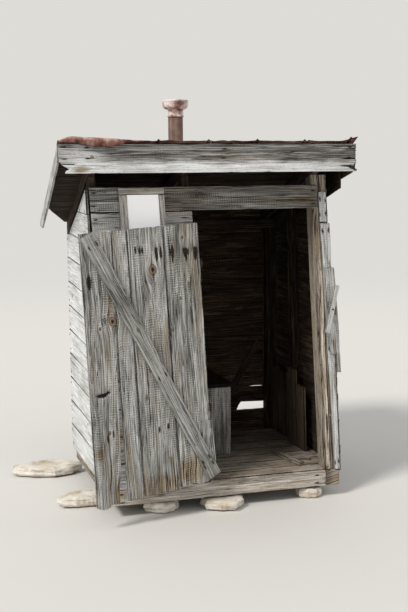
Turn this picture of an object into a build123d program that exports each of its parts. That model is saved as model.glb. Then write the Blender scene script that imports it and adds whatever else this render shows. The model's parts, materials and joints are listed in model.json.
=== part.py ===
from build123d import *
import math
import os

# Wooden outhouse: a nailed board hut on flat field stones, with a sagging plank door.
# Millimetres. While it is laid out, X runs along the front to the right, Y runs towards the back,
# and Z is 0 at the top of the floor. At the end the whole hut is moved so that the origin is on
# the ground under the middle of its bounding box.

# The hut
width = 1520.0            # over the corner posts, without the side boards
depth = 1225.0            # front boards' face to back boards' face
floor_height = 200.0      # ground to the top of the floor
board = 22.0              # thickness of wall, floor and roof boards
board_gap = 4.0           # dried-out joint between neighbouring boards
front_lean = 0.0576       # the front frame has racked this far left per unit of height, the back has not

# Floor frame
sill_width = 97.0
sill_height = 100.0
joist_width = 46.0
floor_board_width = 158.0
floor_clearance = 3.0     # floor boards to the side walls
nosing = 18.0             # threshold board in front of the wall's face

# Field stones under the sills
small_stone = 190.0
long_stone = 430.0
stone_span = 594.0        # between the two left-hand stones of the front

# Posts and studs
stud_width = 45.0
stud_depth = 90.0
jamb_post_width = 56.0     # right-hand jamb post; a second stud beside it reaches the corner
back_post_width = 90.0
back_post_depth = 64.0
plate_height = 70.0       # back plate, under the rafters
plate_clearance = 8.0     # its ends to the side walls
side_stud_depth = 60.0
side_stud_at = 655.0      # right-hand side stud, from the front
left_stud_at = 400.0      # left-hand side stud, in front of the seat

# Doorway and front wall
doorway_width = 785.0
right_jamb = 108.0        # doorway to the right-hand corner
jamb_setback = 10.0       # the front boards lap past the jamb post into the doorway
header_bottom = 1685.0
header_height = 147.0
header_from_corner = 66.0  # the header board stops short of the right-hand corner
front_board_height = 171.0
corner_board_foot = 36.0   # width of the corner board at the floor
corner_board_head = 62.0   # and at its top end
corner_board_top = 1590.0
corner_board_proud = 12.0  # its top end stands out past the corner
corner_piece_top = 1788.0  # a shorter, set-back piece carries on above it
corner_piece_inset = 8.0

# Side and back walls
wall_bottom = -35.0
side_board_height = 171.0
back_board_height = 174.0
side_wall_top = 1822.0    # top of the side boards at the front face
right_row_start = 26.0    # right-hand boards begin behind the corner board
short_row_start = 72.0    # and the upper ones stop further short of the corner
short_rows_above = 760.0
shortest_board = 150.0    # shorter offcuts under the roof were left out
back_strip_width = 50.0   # slanting strip on the inside of the back wall
back_strip_from_post = 9.0
back_strip_top = 660.0
back_strip_run = 384.0
back_hole_from_corner = 86.0   # bite out of the lower back boards
back_hole_width = 212.0
back_hole_height = 62.0
back_wall_clearance = 6.0

# Roof
roof_slope = 0.29         # fall per unit of depth
sheathing_under = 2003.0  # underside of the roof boards over the front face
rafter_depth = 95.0
front_overhang = 220.0
rear_overhang = 315.0
left_overhang = 168.0
right_overhang = 122.0
broken_corner_run = 410.0  # the rear left corner of the roof is broken off along this depth
broken_corner_width = 150.0
roof_board_width = 150.0
roof_skew = 118.0         # the racked front carries the roof's front edge this far left
tin = 1.5
crimp_height = 11.0
crimp_half_width = 11.0
crimp_pitch = 302.0
crimp_start = 262.0       # first crimp on the front edge
sheet_gap = 1.0
tin_overhang = 14.0
fold_length = 520.0       # the left sheet's front edge is folded down this far along
fold_depth = 34.0
fold_rise = 26.0          # and has buckled up above the sheet
fascia_height = 170.0
barge_height = 92.0
barge_thickness = 16.0
barge_reach = 60.0        # past the roof's rear edge
barge_spring = 10.0       # how far the lower end of the left barge board has sprung outwards
right_barge_height = 170.0
right_barge_split = 700.0  # from here on the right barge board is split down to the other's height
eave_clearance = 4.0      # eave boards to the rafters and the roof

# Vent
vent_x = 698.0
vent_y = 950.0
vent_diameter = 103.0
vent_wall = 2.0
vent_top = 2342.0
vent_clearance = 2.0
vent_collar_height = 50.0
vent_collar_flare = 7.0
vent_cap_diameter = 184.0
vent_cap_height = 64.0
vent_cap_round = 22.0

# Seat
seat_front_at = 500.0
seat_height = 496.0
seat_length = 940.0
seat_lip = 12.0
seat_hole_x = 430.0
seat_hole_y = 800.0
seat_hole_length = 300.0
seat_hole_width = 240.0

# Short upright boards inside the lower right wall
lining_heights = [486.0, 470.0, 492.0]
front_lining_heights = [546.0, 452.0]  # two more on the stud's inner face
front_lining_width = 148.0
lining_from_stud = 12.0
lining_from_post = 8.0
lining_from_wall = 26.0

# Door
pin_inset = 15.0          # hinge pins from the doorway's left side, on the floor line
pin_forward = 58.0        # pins in front of the wall's face
door_open = 169.5         # degrees it stands open
door_edge = 16.0          # pins to the hinge-side edge
door_lap = 12.0           # the closed door laps over the right-hand jamb
first_plank = 200.0       # plank widths at the top, from the free edge
second_plank = 91.0
third_plank = 229.0
plank_gap = 4.0
door_top = 1622.0
door_bottom = 6.0
plank_thickness = 22.0
brace_thickness = 20.0
brace_width = 94.0
brace_inset = 43.0        # middle of its upper end from the free edge
brace_drop = 10.0         # and below the top
brace_rise = 40.0         # middle of its lower end above the foot
strap_thickness = 4.0
strap_width = 34.0
strap_length = 240.0
pin_diameter = 12.0
pin_clearance = 0.5
plate_margin = 34.0
eye_wall = 4.0

# Turn button
button_from_corner = 32.0
button_z = 1048.0
button_length = 312.0
button_width = 33.0
button_thickness = 20.0
button_tilt = 12.2        # degrees its top stands to the right of plumb
button_gap = 0.3
nail_diameter = 6.0
nail_clearance = 0.5
block_left = 14.0         # packing block, either side of the nail
block_right = 32.0
block_height = 90.0
latch_board_top = 1310.0  # board under the packing block
latch_board_foot = 626.0
latch_board_step = 752.0  # its inner half has split off below this height
latch_board_width = 66.0
latch_board_thickness = 20.0
latch_board_overhang = 32.0  # it stands out past the corner

# Framed blank panel beside the door
panel_left = 224.0
panel_right = 418.0
panel_bottom = 1525.0
panel_top = 1775.0
casing_left_width = 52.0
casing_right_width = 36.0
casing_head_height = 40.0
casing_foot_height = 34.0
casing_thickness = 20.0
panel_thickness = 6.0

sill_top = -board
sill_bottom = sill_top - sill_height
ground = -floor_height
roof_angle = math.atan(roof_slope)
lean_angle = math.degrees(math.atan(front_lean))
back_face = depth - board
doorway_right = width - right_jamb
doorway_left = doorway_right - doorway_width
jamb_left = doorway_left - jamb_setback - stud_width
header_length = width - header_from_corner
pin_x = doorway_left + pin_inset
door_width = doorway_width - pin_inset + door_lap
button_x = width - button_from_corner
strap_heights = [1370.0, 470.0]


def lean_at(y):
    """Racking at a distance from the front: all of it at the front, none at the back."""
    return front_lean * (1.0 - y / depth)


def slab(outline, direction):
    """A solid from a flat outline of points, carried along a direction."""
    face = Face(Wire.make_polygon([Vector(*p) for p in outline], close=True))
    return Solid.extrude(face, Vector(*direction))


def block(x0, x1, y0, y1, z0, z1):
    """A plain square-sided timber."""
    outline = [(x0, y0, z0), (x1, y0, z0), (x1, y1, z0), (x0, y1, z0)]
    return slab(outline, (0, 0, z1 - z0))


def front_piece(outline, y0, y1):
    """A board parallel to the front, its outline in x and z, leaning with the front frame."""
    points = [(x - front_lean * z, y0, z) for x, z in outline]
    return slab(points, (0, y1 - y0, 0))


def oblong(x0, x1, z0, z1):
    return [(x0, z0), (x1, z0), (x1, z1), (x0, z1)]


def strip(high, low, breadth, y, thickness):
    """A slanting board from one point to another, square at its ends."""
    along = (low - high).normalized()
    across = Vector(along.Z, 0, -along.X) * (breadth / 2)
    corners = [high + across, low + across, low - across, high - across]
    return slab([(p.X, y, p.Z) for p in corners], (0, thickness, 0))


def sheathing_z(y):
    return sheathing_under - roof_slope * y


def rafter_z(y):
    """Underside of the rafters."""
    return sheathing_z(y) - rafter_depth / math.cos(roof_angle)


def roof_shift(y):
    """How far the roof's edge lies to the left at a distance from the front."""
    return -roof_skew * (1.0 - y / depth)


def leaning_timber(x0, x1, profile):
    """A timber with its profile in y and z, leaning as the hut does at its middle."""
    lean = lean_at(sum(y for y, _ in profile) / len(profile))
    outline = [(x0 - lean * z, y, z) for y, z in profile]
    return slab(outline, (x1 - x0, 0, 0))


def post(x0, x1, y0, y1, z0):
    """A post whose top is cut to the rafter that it carries."""
    profile = [(y0, z0), (y1, z0), (y1, rafter_z(y1)), (y0, rafter_z(y0))]
    return leaning_timber(x0, x1, profile)


def side_supports(stud_at):
    """Where a side wall's boards bear on the frame: near and far edge of each post, with its lean."""
    spans = [
        (board, board + stud_depth),
        (stud_at, stud_at + stud_width),
        (back_face - back_post_depth, back_face),
    ]
    return [(0.0, board, front_lean)] + [(a, b, lean_at((a + b) / 2)) for a, b in spans]


def side_board(face_x, outward, profile, supports):
    """A side wall board that bears on the posts, its profile in y and z.

    The posts lean less and less towards the back, so the board's plane is set just outside
    their corners.
    """
    z0 = min(z for _, z in profile)
    z1 = max(z for _, z in profile)
    middle = (z0 + z1) / 2
    run = front_lean * middle / depth
    lean = lean_at(depth / 2)
    reach = max(y for y, _ in profile)
    start = min(y for y, _ in profile)
    seats = []
    for near, far, post_lean in supports:
        first = max(near, start)
        last = min(far, reach)
        if first > last:
            continue
        for y in (first, last):
            for z in (z0, min(z1, side_wall_top - roof_slope * y)):
                seats.append(face_x - post_lean * max(z, 0.0) - run * y + lean * z)
    seat = max(seats) if outward > 0 else min(seats)
    outline = [(seat + run * y - lean * z, y, z) for y, z in profile]
    return slab(outline, (outward * board, 0, 0))


def wall_rows(bottom, top, pitch):
    """Lower and upper edges of horizontal boards, from the bottom up."""
    rows = []
    z = bottom
    while z < top - board_gap:
        rows.append((z, min(z + pitch, top) - board_gap))
        z += pitch
    return rows


def side_wall(face_x, outward, stud_at, start, short_start):
    """Horizontal boards, the upper ones cut off along the slope of the roof.

    The rows begin at one distance from the front, and the upper rows at another.
    """
    boards = []
    supports = side_supports(stud_at)
    for z0, z1 in wall_rows(wall_bottom, side_wall_top, side_board_height):
        front = start if z0 < short_rows_above else short_start
        reach_low = min(depth, (side_wall_top - z0) / roof_slope)
        reach_high = min(depth, (side_wall_top - z1) / roof_slope)
        if reach_low < shortest_board:
            continue
        profile = [(front, z0), (reach_low, z0)]
        if reach_low == depth and reach_high < depth:
            profile.append((depth, side_wall_top - roof_slope * depth))
        if reach_high > front:
            profile.append((reach_high, z1))
            profile.append((front, z1))
        else:
            profile.append((front, side_wall_top - roof_slope * front))
        boards.append(side_board(face_x, outward, profile, supports))
    return boards


def back_wall():
    """Horizontal boards between the side walls, one with a piece broken out of its lower edge."""
    left = back_wall_clearance
    right = width - back_wall_clearance
    hole_right = width - back_hole_from_corner
    hole_left = hole_right - back_hole_width
    boards = []
    top = side_wall_top - roof_slope * depth
    for index, (z0, z1) in enumerate(wall_rows(wall_bottom, top, back_board_height)):
        outline = oblong(left, right, z0, z1)
        if index == 1:
            bite = [
                (hole_left, z0),
                (hole_left + 26, z0 + back_hole_height),
                (hole_right, z0 + back_hole_height - 6),
                (hole_right, z0),
            ]
            outline = outline[:1] + bite + outline[1:]
        points = [(x, depth, z) for x, z in outline]
        boards.append(slab(points, (0, -board, 0)))
    return boards


def front_wall():
    """Boards between the left corner and the doorway, under the header board."""
    boards = []
    top = header_bottom
    while top > sill_top + 2 * board_gap:
        low = max(top - front_board_height, sill_top)
        boards.append(front_piece(oblong(0, doorway_left, low, top - board_gap), 0, board))
        top -= front_board_height
    return boards


def floor_joists():
    """The back joist between the side sills, and a middle one from the front rim to it."""
    front = back_face - sill_width
    back = block(sill_width, width - sill_width, front, back_face, sill_bottom, sill_top)
    left = width / 2 - joist_width / 2
    middle = block(left, left + joist_width, board, front - board_gap, sill_bottom, sill_top)
    return [back, middle]


def floor_boards():
    """Boards across the sills, shorter where the corner posts stand."""
    boards = []
    first = board + stud_depth + board_gap
    last = back_face - back_post_depth - board_gap
    left_front = block(stud_width + board_gap, doorway_left, board, first - board_gap, sill_top, 0)
    right = doorway_right - floor_clearance
    threshold = block(doorway_left + board_gap, right, -nosing, first - board_gap, sill_top, 0)
    boards += [left_front, threshold]
    count = max(1, round((last - first) / floor_board_width))
    pitch = (last - first) / count
    for index in range(count):
        y0 = first + index * pitch
        boards.append(block(floor_clearance, width - floor_clearance, y0, y0 + pitch - board_gap, sill_top, 0))
    inner = back_post_width + board_gap
    boards.append(block(inner, width - inner, last + board_gap, back_face, sill_top, 0))
    return boards


def broken_corner(y):
    """How much of the roof's left end is gone at a distance from the front."""
    rear = depth + rear_overhang
    share = (y - rear + broken_corner_run) / broken_corner_run
    return max(0.0, share) * broken_corner_width


def vent_hole():
    """The way of the vent pipe through the roof."""
    return Pos(vent_x, vent_y, 0) * Cylinder(vent_diameter / 2 + vent_clearance, 2 * vent_top)


def roof_boards():
    """Boards along the width, laid from the fascia down to the rear edge."""
    boards = []
    up = (0, board * math.sin(roof_angle), board * math.cos(roof_angle))
    start = -front_overhang + board
    end = depth + rear_overhang
    count = max(1, round((end - start) / (roof_board_width * math.cos(roof_angle))))
    pitch = (end - start) / count
    hole = vent_hole()
    for index in range(count):
        y0 = start + index * pitch
        y1 = y0 + pitch - board_gap
        outline = [
            (-left_overhang + roof_shift(y0) + broken_corner(y0), y0, sheathing_z(y0)),
            (width + right_overhang + roof_shift(y0), y0, sheathing_z(y0)),
            (width + right_overhang + roof_shift(y1), y1, sheathing_z(y1)),
            (-left_overhang + roof_shift(y1) + broken_corner(y1), y1, sheathing_z(y1)),
        ]
        plank = slab(outline, up)
        if y0 - vent_diameter < vent_y < y1 + vent_diameter:
            plank = plank - hole
        boards.append(plank)
    return boards


def tin_sheet(x0, x1, crimps):
    """A sheet with V-shaped crimps that run down the slope, its profile carried to the rear edge."""
    y0 = -front_overhang - tin_overhang
    y1 = depth + rear_overhang + tin_overhang
    under = sheathing_z(y0) + board / math.cos(roof_angle)
    top = [(x0, under + tin)]
    for x in crimps:
        top.append((x - crimp_half_width, under + tin))
        top.append((x, under + tin + crimp_height))
        top.append((x + crimp_half_width, under + tin))
    top.append((x1, under + tin))
    low = [(x, z - tin) for x, z in reversed(top)]
    length = y1 - y0
    outline = [(x, y0, z) for x, z in top + low]
    return slab(outline, (roof_skew * length / depth, length, -roof_slope * length))


def roof_tin():
    """Three sheets side by side; the left one is folded down over the front edge."""
    edge_left = -left_overhang + roof_shift(-front_overhang) - barge_thickness
    edge_right = width + right_overhang + roof_shift(-front_overhang) + barge_thickness
    crimps = []
    x = crimp_start
    while x < edge_right - 2 * crimp_half_width:
        crimps.append(x)
        x += crimp_pitch
    seams = [edge_left, crimps[1] + 2 * crimp_half_width, crimps[3] + 2 * crimp_half_width, edge_right]
    hole = vent_hole()
    sheets = []
    for left, right in zip(seams, seams[1:]):
        own = [x for x in crimps if left + crimp_half_width < x < right - crimp_half_width]
        sheets.append(tin_sheet(left, right - sheet_gap, own))
    y0 = -front_overhang - tin_overhang
    rim = sheathing_z(y0) + board / math.cos(roof_angle) + tin
    fold = [
        (edge_left + 4, rim),
        (edge_left + 70, rim + fold_rise),
        (edge_left + 330, rim + fold_rise / 2),
        (edge_left + fold_length, rim),
        (edge_left + 340, rim - fold_depth * 0.7),
        (edge_left + 292, rim - fold_depth),
        (edge_left + 205, rim - fold_depth),
        (edge_left + 125, rim - fold_depth / 2),
        (edge_left + 20, rim - fold_depth / 4),
    ]
    lip = slab([(x, y0, z) for x, z in fold], (0, tin, 0))
    sheets[0] = sheets[0] + lip
    rear = depth + rear_overhang + tin_overhang
    left = edge_left + roof_skew * (rear - y0) / depth
    start = rear - broken_corner_run
    outline = [
        (edge_left + roof_skew * (start - y0) / depth, start),
        (left + broken_corner_width + barge_thickness, rear),
        (left + broken_corner_width + barge_thickness, rear + board),
        (edge_left, rear + board),
        (edge_left, start),
    ]
    sheets[0] = sheets[0] - slab([(x, y, 0) for x, y in outline], (0, 0, 2 * sheathing_under))
    return [(sheet - hole).solid() for sheet in sheets]


def barge_profile(y0, y1, front_height, split_at):
    """Side view of a barge board: along the roof's slope, its lower rear corner cut back."""
    over = board / math.cos(roof_angle)

    def below(y, height):
        return (y, sheathing_z(y) + over - height)

    return [
        below(y0, 0),
        below(y1, 0),
        below(y1, barge_height * 0.35),
        below(y1 - 2 * barge_height, barge_height),
        below(split_at, barge_height),
        below(y0, front_height),
    ]


def left_barge_board():
    """The board on the roof's left edge, nailed at the front and sprung outwards at the rear."""
    y0 = -front_overhang + board + 0.5
    y1 = depth + rear_overhang + barge_reach
    x0 = -left_overhang + roof_shift(y0)
    x1 = -left_overhang + roof_shift(y1)
    mid_y = (y0 + y1) / 2
    mid_x = (x0 + x1) / 2 - barge_spring / 4
    t = barge_thickness
    inner = ThreePointArc((x0 - 0.3, y0), (mid_x, mid_y), (x1 - barge_spring, y1))
    outer = ThreePointArc((x0 - 0.3 - t, y0), (mid_x - t, mid_y), (x1 - barge_spring - t, y1))
    ends = [Line(inner @ 0, outer @ 0), Line(inner @ 1, outer @ 1)]
    plan = make_face(Curve() + [inner, outer] + ends)
    tall = Pos(0, 0, sheathing_z(y1) - 2 * fascia_height) * extrude(plan, sheathing_under)
    profile = barge_profile(y0, y1, barge_height, mid_y)
    band = slab([(-2 * width, y, z) for y, z in profile], (3 * width, 0, 0))
    return (tall & band).solid()


def right_barge_board():
    """The board on the roof's right edge, wide at the front and split down to a strip behind."""
    y0 = -front_overhang + board + 0.5
    y1 = depth + rear_overhang
    at_front = width + right_overhang + roof_shift(y0) + 0.3
    run = roof_skew / depth
    profile = barge_profile(y0, y1, right_barge_height, right_barge_split)
    outline = [(at_front + run * (y - y0), y, z) for y, z in profile]
    return slab(outline, (barge_thickness, 0, 0))


def fascia():
    """The weathered board across the front edge of the roof, split and broken at its ends."""
    y0 = -front_overhang
    top = sheathing_z(y0 + board) + board / math.cos(roof_angle)
    low = top - fascia_height
    left = -left_overhang + roof_shift(y0) - barge_thickness
    right = width + right_overhang + roof_shift(y0) + barge_thickness - 6
    outline = [
        (left, top),
        (left + 3, top - 62),
        (left + 6, top - 101),
        (left + 24, top - 120),
        (left + 68, top - 145),
        (left + 46, top - 152),
        (left + 41, low),
        (right + 6, low),
        (right + 8, low + 12),
        (right - 16, low + 26),
        (right - 12, low + 44),
        (right + 5, low + 50),
        (right - 6, top - 54),
        (right + 2, top - 40),
        (right, top),
    ]
    return slab([(x, y0, z) for x, z in outline], (0, board, 0))


def rafter(x):
    """A rafter from the fascia to the rear eave, over a post whose left side is at x on the floor."""
    y0 = -front_overhang + board
    y1 = depth + rear_overhang - board
    at_front = x - front_lean * rafter_z(board)
    run = front_lean * rafter_z(board) / depth
    profile = [(y0, rafter_z(y0)), (y1, rafter_z(y1)), (y1, sheathing_z(y1)), (y0, sheathing_z(y0))]
    outline = [(at_front + run * (y - board), y, z) for y, z in profile]
    return slab(outline, (stud_width, 0, 0))


def rafter_places():
    """Left side of each rafter on the floor line, over the corner post and the two jambs."""
    return [0.0, jamb_left, doorway_right + jamb_post_width - stud_width]


def eave_boards():
    """Short boards between the rafters that close the back wall up to the roof."""
    top = side_wall_top - roof_slope * depth
    high = sheathing_z(depth) - eave_clearance
    sway = front_lean * (rafter_z(board) * board / depth)
    edges = [back_wall_clearance]
    for x in rafter_places():
        edges += [x - sway - eave_clearance, x - sway + stud_width + eave_clearance]
    edges.append(width - back_wall_clearance)
    boards = []
    for left, right in zip(edges[0::2], edges[1::2]):
        if right - left > stud_width:
            boards.append(block(left, right, back_face, depth, top, high))
    return boards


def back_plate():
    """Carries the rafters' lower ends; its top follows their slope."""
    y0 = back_face - back_post_depth
    profile = [
        (y0, rafter_z(y0) - plate_height),
        (back_face, rafter_z(y0) - plate_height),
        (back_face, rafter_z(back_face)),
        (y0, rafter_z(y0)),
    ]
    return slab([(plate_clearance, y, z) for y, z in profile], (width - 2 * plate_clearance, 0, 0))


def back_post(x0):
    y0 = back_face - back_post_depth
    top = rafter_z(y0) - plate_height
    profile = [(y0, sill_top), (back_face, sill_top), (back_face, top), (y0, top)]
    return leaning_timber(x0, x0 + back_post_width, profile)


def vent_pipe():
    ring = Circle(vent_diameter / 2) - Circle(vent_diameter / 2 - vent_wall)
    return Pos(vent_x, vent_y, seat_height) * extrude(ring, vent_top - seat_height)


def vent_cap():
    """A round hood, flat on top and rounded below, on a flared collar that grips the pipe."""
    grip = vent_diameter / 2 + 0.3
    collar = grip + vent_wall
    hood = vent_cap_diameter / 2
    low = vent_top - vent_collar_height
    outline = [
        (0, vent_top + 0.5),
        (grip, vent_top + 0.5),
        (grip, low + 14),
        (grip + vent_collar_flare - vent_wall, low),
        (grip + vent_collar_flare, low),
        (collar, low + 16),
        (collar, vent_top),
        (hood, vent_top),
        (hood, vent_top + vent_cap_height),
        (0, vent_top + vent_cap_height),
    ]
    profile = Plane.XZ * make_face(Polyline(outline, close=True))
    cap = revolve(profile, Axis.Z, 360)
    under = [e for e in cap.edges().filter_by(GeomType.CIRCLE) if abs(e.radius - hood) < 0.01]
    under.sort(key=lambda e: e.center().Z)
    cap = fillet(under[0], vent_cap_round)
    return Pos(vent_x, vent_y, 0) * cap


def seat_front():
    return block(0, seat_length, seat_front_at, seat_front_at + board, 0, seat_height - board)


def seat_end():
    """The upright board that closes the seat's right-hand end."""
    front = seat_front_at + board
    back = back_face - back_post_depth - board_gap
    return block(seat_length - board, seat_length, front, back, 0, seat_height - board)


def seat_top():
    """The seat board, with an oval hole and the bore of the vent."""
    back = back_face - back_post_depth - board_gap
    top = block(0, seat_length + seat_lip, seat_front_at - seat_lip, back, seat_height - board, seat_height)
    oval = Pos(seat_hole_x, seat_hole_y, seat_height - 2 * board) * extrude(
        Ellipse(seat_hole_width / 2, seat_hole_length / 2), 3 * board
    )
    bore = Pos(vent_x, vent_y, seat_height) * Cylinder(vent_diameter / 2 - 2 * vent_wall, 4 * board)
    return (top - oval - bore).solid()


def stone(x, y, length, reach, turn, taper):
    """A flat field stone: an uneven ring of points, smaller at the top than half way up."""
    height = sill_bottom - ground
    ring = [1.0, 0.94, 1.03, 0.88, 0.97, 1.02, 0.9, 1.0, 0.93]
    sections = []
    for scale, z in ((0.94, 0.0), (1.0, height * 0.55), (taper, height)):
        points = []
        for index, r in enumerate(ring):
            angle = 2 * math.pi * index / len(ring)
            px = scale * r * length / 2 * math.cos(angle)
            py = scale * r * reach / 2 * math.sin(angle)
            points.append((px, py, z))
        sections.append(Wire.make_polygon(points, close=True))
    rock = Solid.make_loft(sections, True)
    return Pos(x, y, ground) * Rot(0, 0, turn) * rock


def door_place(turn):
    """The frame of the door: its Z axis is the hinge line, which leans with the jamb."""
    return Location((pin_x, -pin_forward, 0), (0, -lean_angle, 0)) * Location((0, 0, 0), (0, 0, turn))


def door_piece(outline, y0, y1):
    """A board of the door, its outline in distance from the hinge line and height along it."""
    return slab([(s, y0, t) for s, t in outline], (0, y1 - y0, 0))


def door_planks():
    """Four planks, fanned out towards the foot, the outer ones split and rotted there.

    Each outline runs from the top on the hinge side, along the top and down the far side.
    """
    y0 = strap_thickness
    y1 = strap_thickness + plank_thickness
    top = door_top
    foot = door_bottom
    free = door_width
    a = free - first_plank
    b = a - plank_gap
    c = b - second_plank
    d = c - plank_gap
    e = d - third_plank
    f = e - plank_gap
    hinge = door_edge
    middle = (top + foot) / 2
    first = [
        (a, top), (free, top), (free + 4, middle + 146), (free + 18, foot - 10),
        (free - 3, foot - 20), (free - 24, foot - 28), (free - 66, foot - 27), (free - 76, foot - 4),
        (free - 130, foot - 14), (a + 64, foot + 104), (a + 46, foot + 174), (a + 22, middle - 114),
    ]
    second = [(c, top), (b, top), (b + 19, middle - 114), (b + 22, foot - 2), (c + 10, foot - 6)]
    third = [(e, top), (d, top), (d + 2, middle + 86), (d + 8, foot), (e - 2, foot - 7)]
    fourth = [
        (hinge, top), (f, top), (f, middle - 14), (f - 8, foot + 4), (f - 90, foot + 14),
        (hinge + 68, foot), (hinge + 14, foot + 70), (hinge - 26, foot + 134),
        (hinge - 18, foot + 390), (hinge - 2, foot + 396),
    ]
    return [door_piece(outline, y0, y1) for outline in (first, second, third, fourth)]


def door_brace():
    """The diagonal board on the inner face, from the free corner down past the hinge side."""
    high = Vector(door_width - brace_inset, 0, door_top - brace_drop)
    low = Vector(door_edge, 0, door_bottom + brace_rise)
    y0 = strap_thickness + plank_thickness
    return strip(high, low, brace_width, y0, brace_thickness)


def door_straps():
    """Two iron straps on the outer face, each ending in an eye round its pin."""
    straps = []
    inner = pin_diameter / 2 + pin_clearance
    outer = inner + eye_wall
    for t in strap_heights:
        band = Pos(outer - 2 + strap_length / 2, strap_thickness / 2, t) * Box(
            strap_length, strap_thickness, strap_width
        )
        eye = Pos(0, 0, t) * Cylinder(outer, strap_width)
        bore = Pos(0, 0, t) * Cylinder(inner, 2 * strap_width)
        straps.append((band + eye - bore).solid())
    return straps


def hinge_pintles():
    """Plate, arm and upright pin of each hinge, fixed on the face of the jamb."""
    pintles = []
    half = pin_diameter / 2
    back = pin_forward - strap_thickness
    plate_edge = doorway_left - pin_x - 2
    for t in strap_heights:
        base = t - strap_width / 2 - 1.0
        pin = Pos(0, 0, base - pin_diameter) * extrude(Circle(half), strap_width + 2 * pin_diameter)
        bend = [(half, -half), (half, half), (plate_edge, back), (plate_edge - 16, back), (-half, -half)]
        arm = slab([(x, y, base) for x, y in bend], (0, 0, -pin_diameter))
        low = base - pin_diameter - plate_margin
        high = base + plate_margin
        plate = block(plate_edge - strap_width, plate_edge, back, pin_forward, low, high)
        pintles.append((pin + arm + plate).solid())
    return pintles


def button_place():
    x = button_x - front_lean * button_z
    return Location((x, -pin_forward, button_z), (0, button_tilt, 0))


def turn_button():
    """The stick that turns on one nail and holds the door shut."""
    y = -button_gap - button_thickness
    stick = Pos(0, y + button_thickness / 2, 0) * Box(button_width, button_thickness, button_length)
    bore = Rot(90, 0, 0) * Cylinder(nail_diameter / 2 + nail_clearance, 6 * button_thickness)
    return button_place() * (stick - bore)


def nail_hole():
    x = button_x - front_lean * button_z
    hole = Rot(90, 0, 0) * Cylinder(nail_diameter / 2 + 0.1, 4 * pin_forward)
    return Pos(x, 0, button_z) * hole


def button_nail():
    reach = pin_forward + board / 2
    shank = Pos(0, (reach - button_thickness - 2 * button_gap) / 2, 0) * Rot(90, 0, 0) * Cylinder(
        nail_diameter / 2, reach + button_thickness + 2 * button_gap
    )
    head = Pos(0, -button_thickness - 2 * button_gap - 1.5, 0) * Rot(90, 0, 0) * Cylinder(nail_diameter, 3)
    return Pos(button_x - front_lean * button_z, -pin_forward, button_z) * (shank + head)


def latch_board():
    """The board beside the doorway that the turn button is mounted on, half of its foot split off."""
    right = width + latch_board_overhang
    left = right - latch_board_width
    split = right - latch_board_width * 0.4
    outline = [
        (left - block_left, latch_board_top),
        (left - block_left, button_z),
        (left, latch_board_step),
        (split, latch_board_step),
        (split, latch_board_foot),
        (right, latch_board_foot),
        (right, button_z - block_height),
        (right - block_left, latch_board_top),
    ]
    return front_piece(outline, -latch_board_thickness, 0) - nail_hole()


def button_block():
    """Packing block that brings the button out to the face of the closed door."""
    half = block_height / 2
    outline = oblong(button_x - block_left, button_x + block_right, button_z - half, button_z + half)
    return front_piece(outline, -pin_forward, -latch_board_thickness) - nail_hole()


def corner_boards():
    """A tapered board over the corner stud, and a shorter piece of board above it."""
    foot = sill_top + board_gap
    outline = [
        (width - corner_board_foot, foot),
        (width, foot),
        (width + corner_board_proud, corner_board_top),
        (width - corner_board_head, corner_board_top),
    ]
    lower = front_piece(outline, 0, board) - nail_hole()
    left = header_length + board_gap
    right = width - corner_piece_inset
    upper = front_piece(oblong(left, right, corner_board_top + 2 * board_gap, corner_piece_top), 0, board)
    return [lower.solid(), upper]


def panel_casing():
    left = panel_left - casing_left_width
    right = panel_right + casing_right_width
    head = panel_top + casing_head_height
    foot = panel_bottom - casing_foot_height
    pieces = [
        oblong(left, panel_left, foot, panel_top + 10),
        oblong(panel_right, right, foot, panel_top + 10),
        oblong(left, right, panel_top + 12, head + 12),
        oblong(panel_left + 1, panel_right - 1, foot, panel_bottom),
    ]
    return [front_piece(outline, -casing_thickness, 0) for outline in pieces]


def right_wall_lining():
    """Short upright boards nailed inside the lower right wall, behind the stud and on it."""
    boards = []
    y = side_stud_at + stud_width + lining_from_stud
    end = back_face - back_post_depth - lining_from_post
    x = width - board - lining_from_wall
    lean = lean_at((y + end) / 2)
    pitch = (end - y) / len(lining_heights)
    for index, height in enumerate(lining_heights):
        y0 = y + index * pitch
        y1 = y0 + pitch - board_gap
        outline = [(x - lean * t, y, t) for y, t in ((y0, 0), (y1, 0), (y1, height), (y0, height))]
        boards.append(slab(outline, (board, 0, 0)))
    y1 = side_stud_at + stud_width
    lean = lean_at(side_stud_at + stud_width / 2)
    x = width - side_stud_depth
    for height in front_lining_heights:
        y0 = y1 - front_lining_width + board_gap
        outline = [(x - lean * t, y, t) for y, t in ((y0, 0), (y1, 0), (y1, height), (y0, height))]
        boards.append(slab(outline, (-board, 0, 0)))
        y1 -= front_lining_width
    return boards


def back_brace():
    """A strip nailed slantwise on the inside of the back wall, down from the right-hand post."""
    right = width - back_post_width - back_strip_width / 2
    high = Vector(right - back_strip_from_post, 0, back_strip_top)
    low = Vector(high.X - back_strip_run, 0, back_strip_width * 0.8)
    return strip(high, low, back_strip_width, back_face - board, board)


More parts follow.
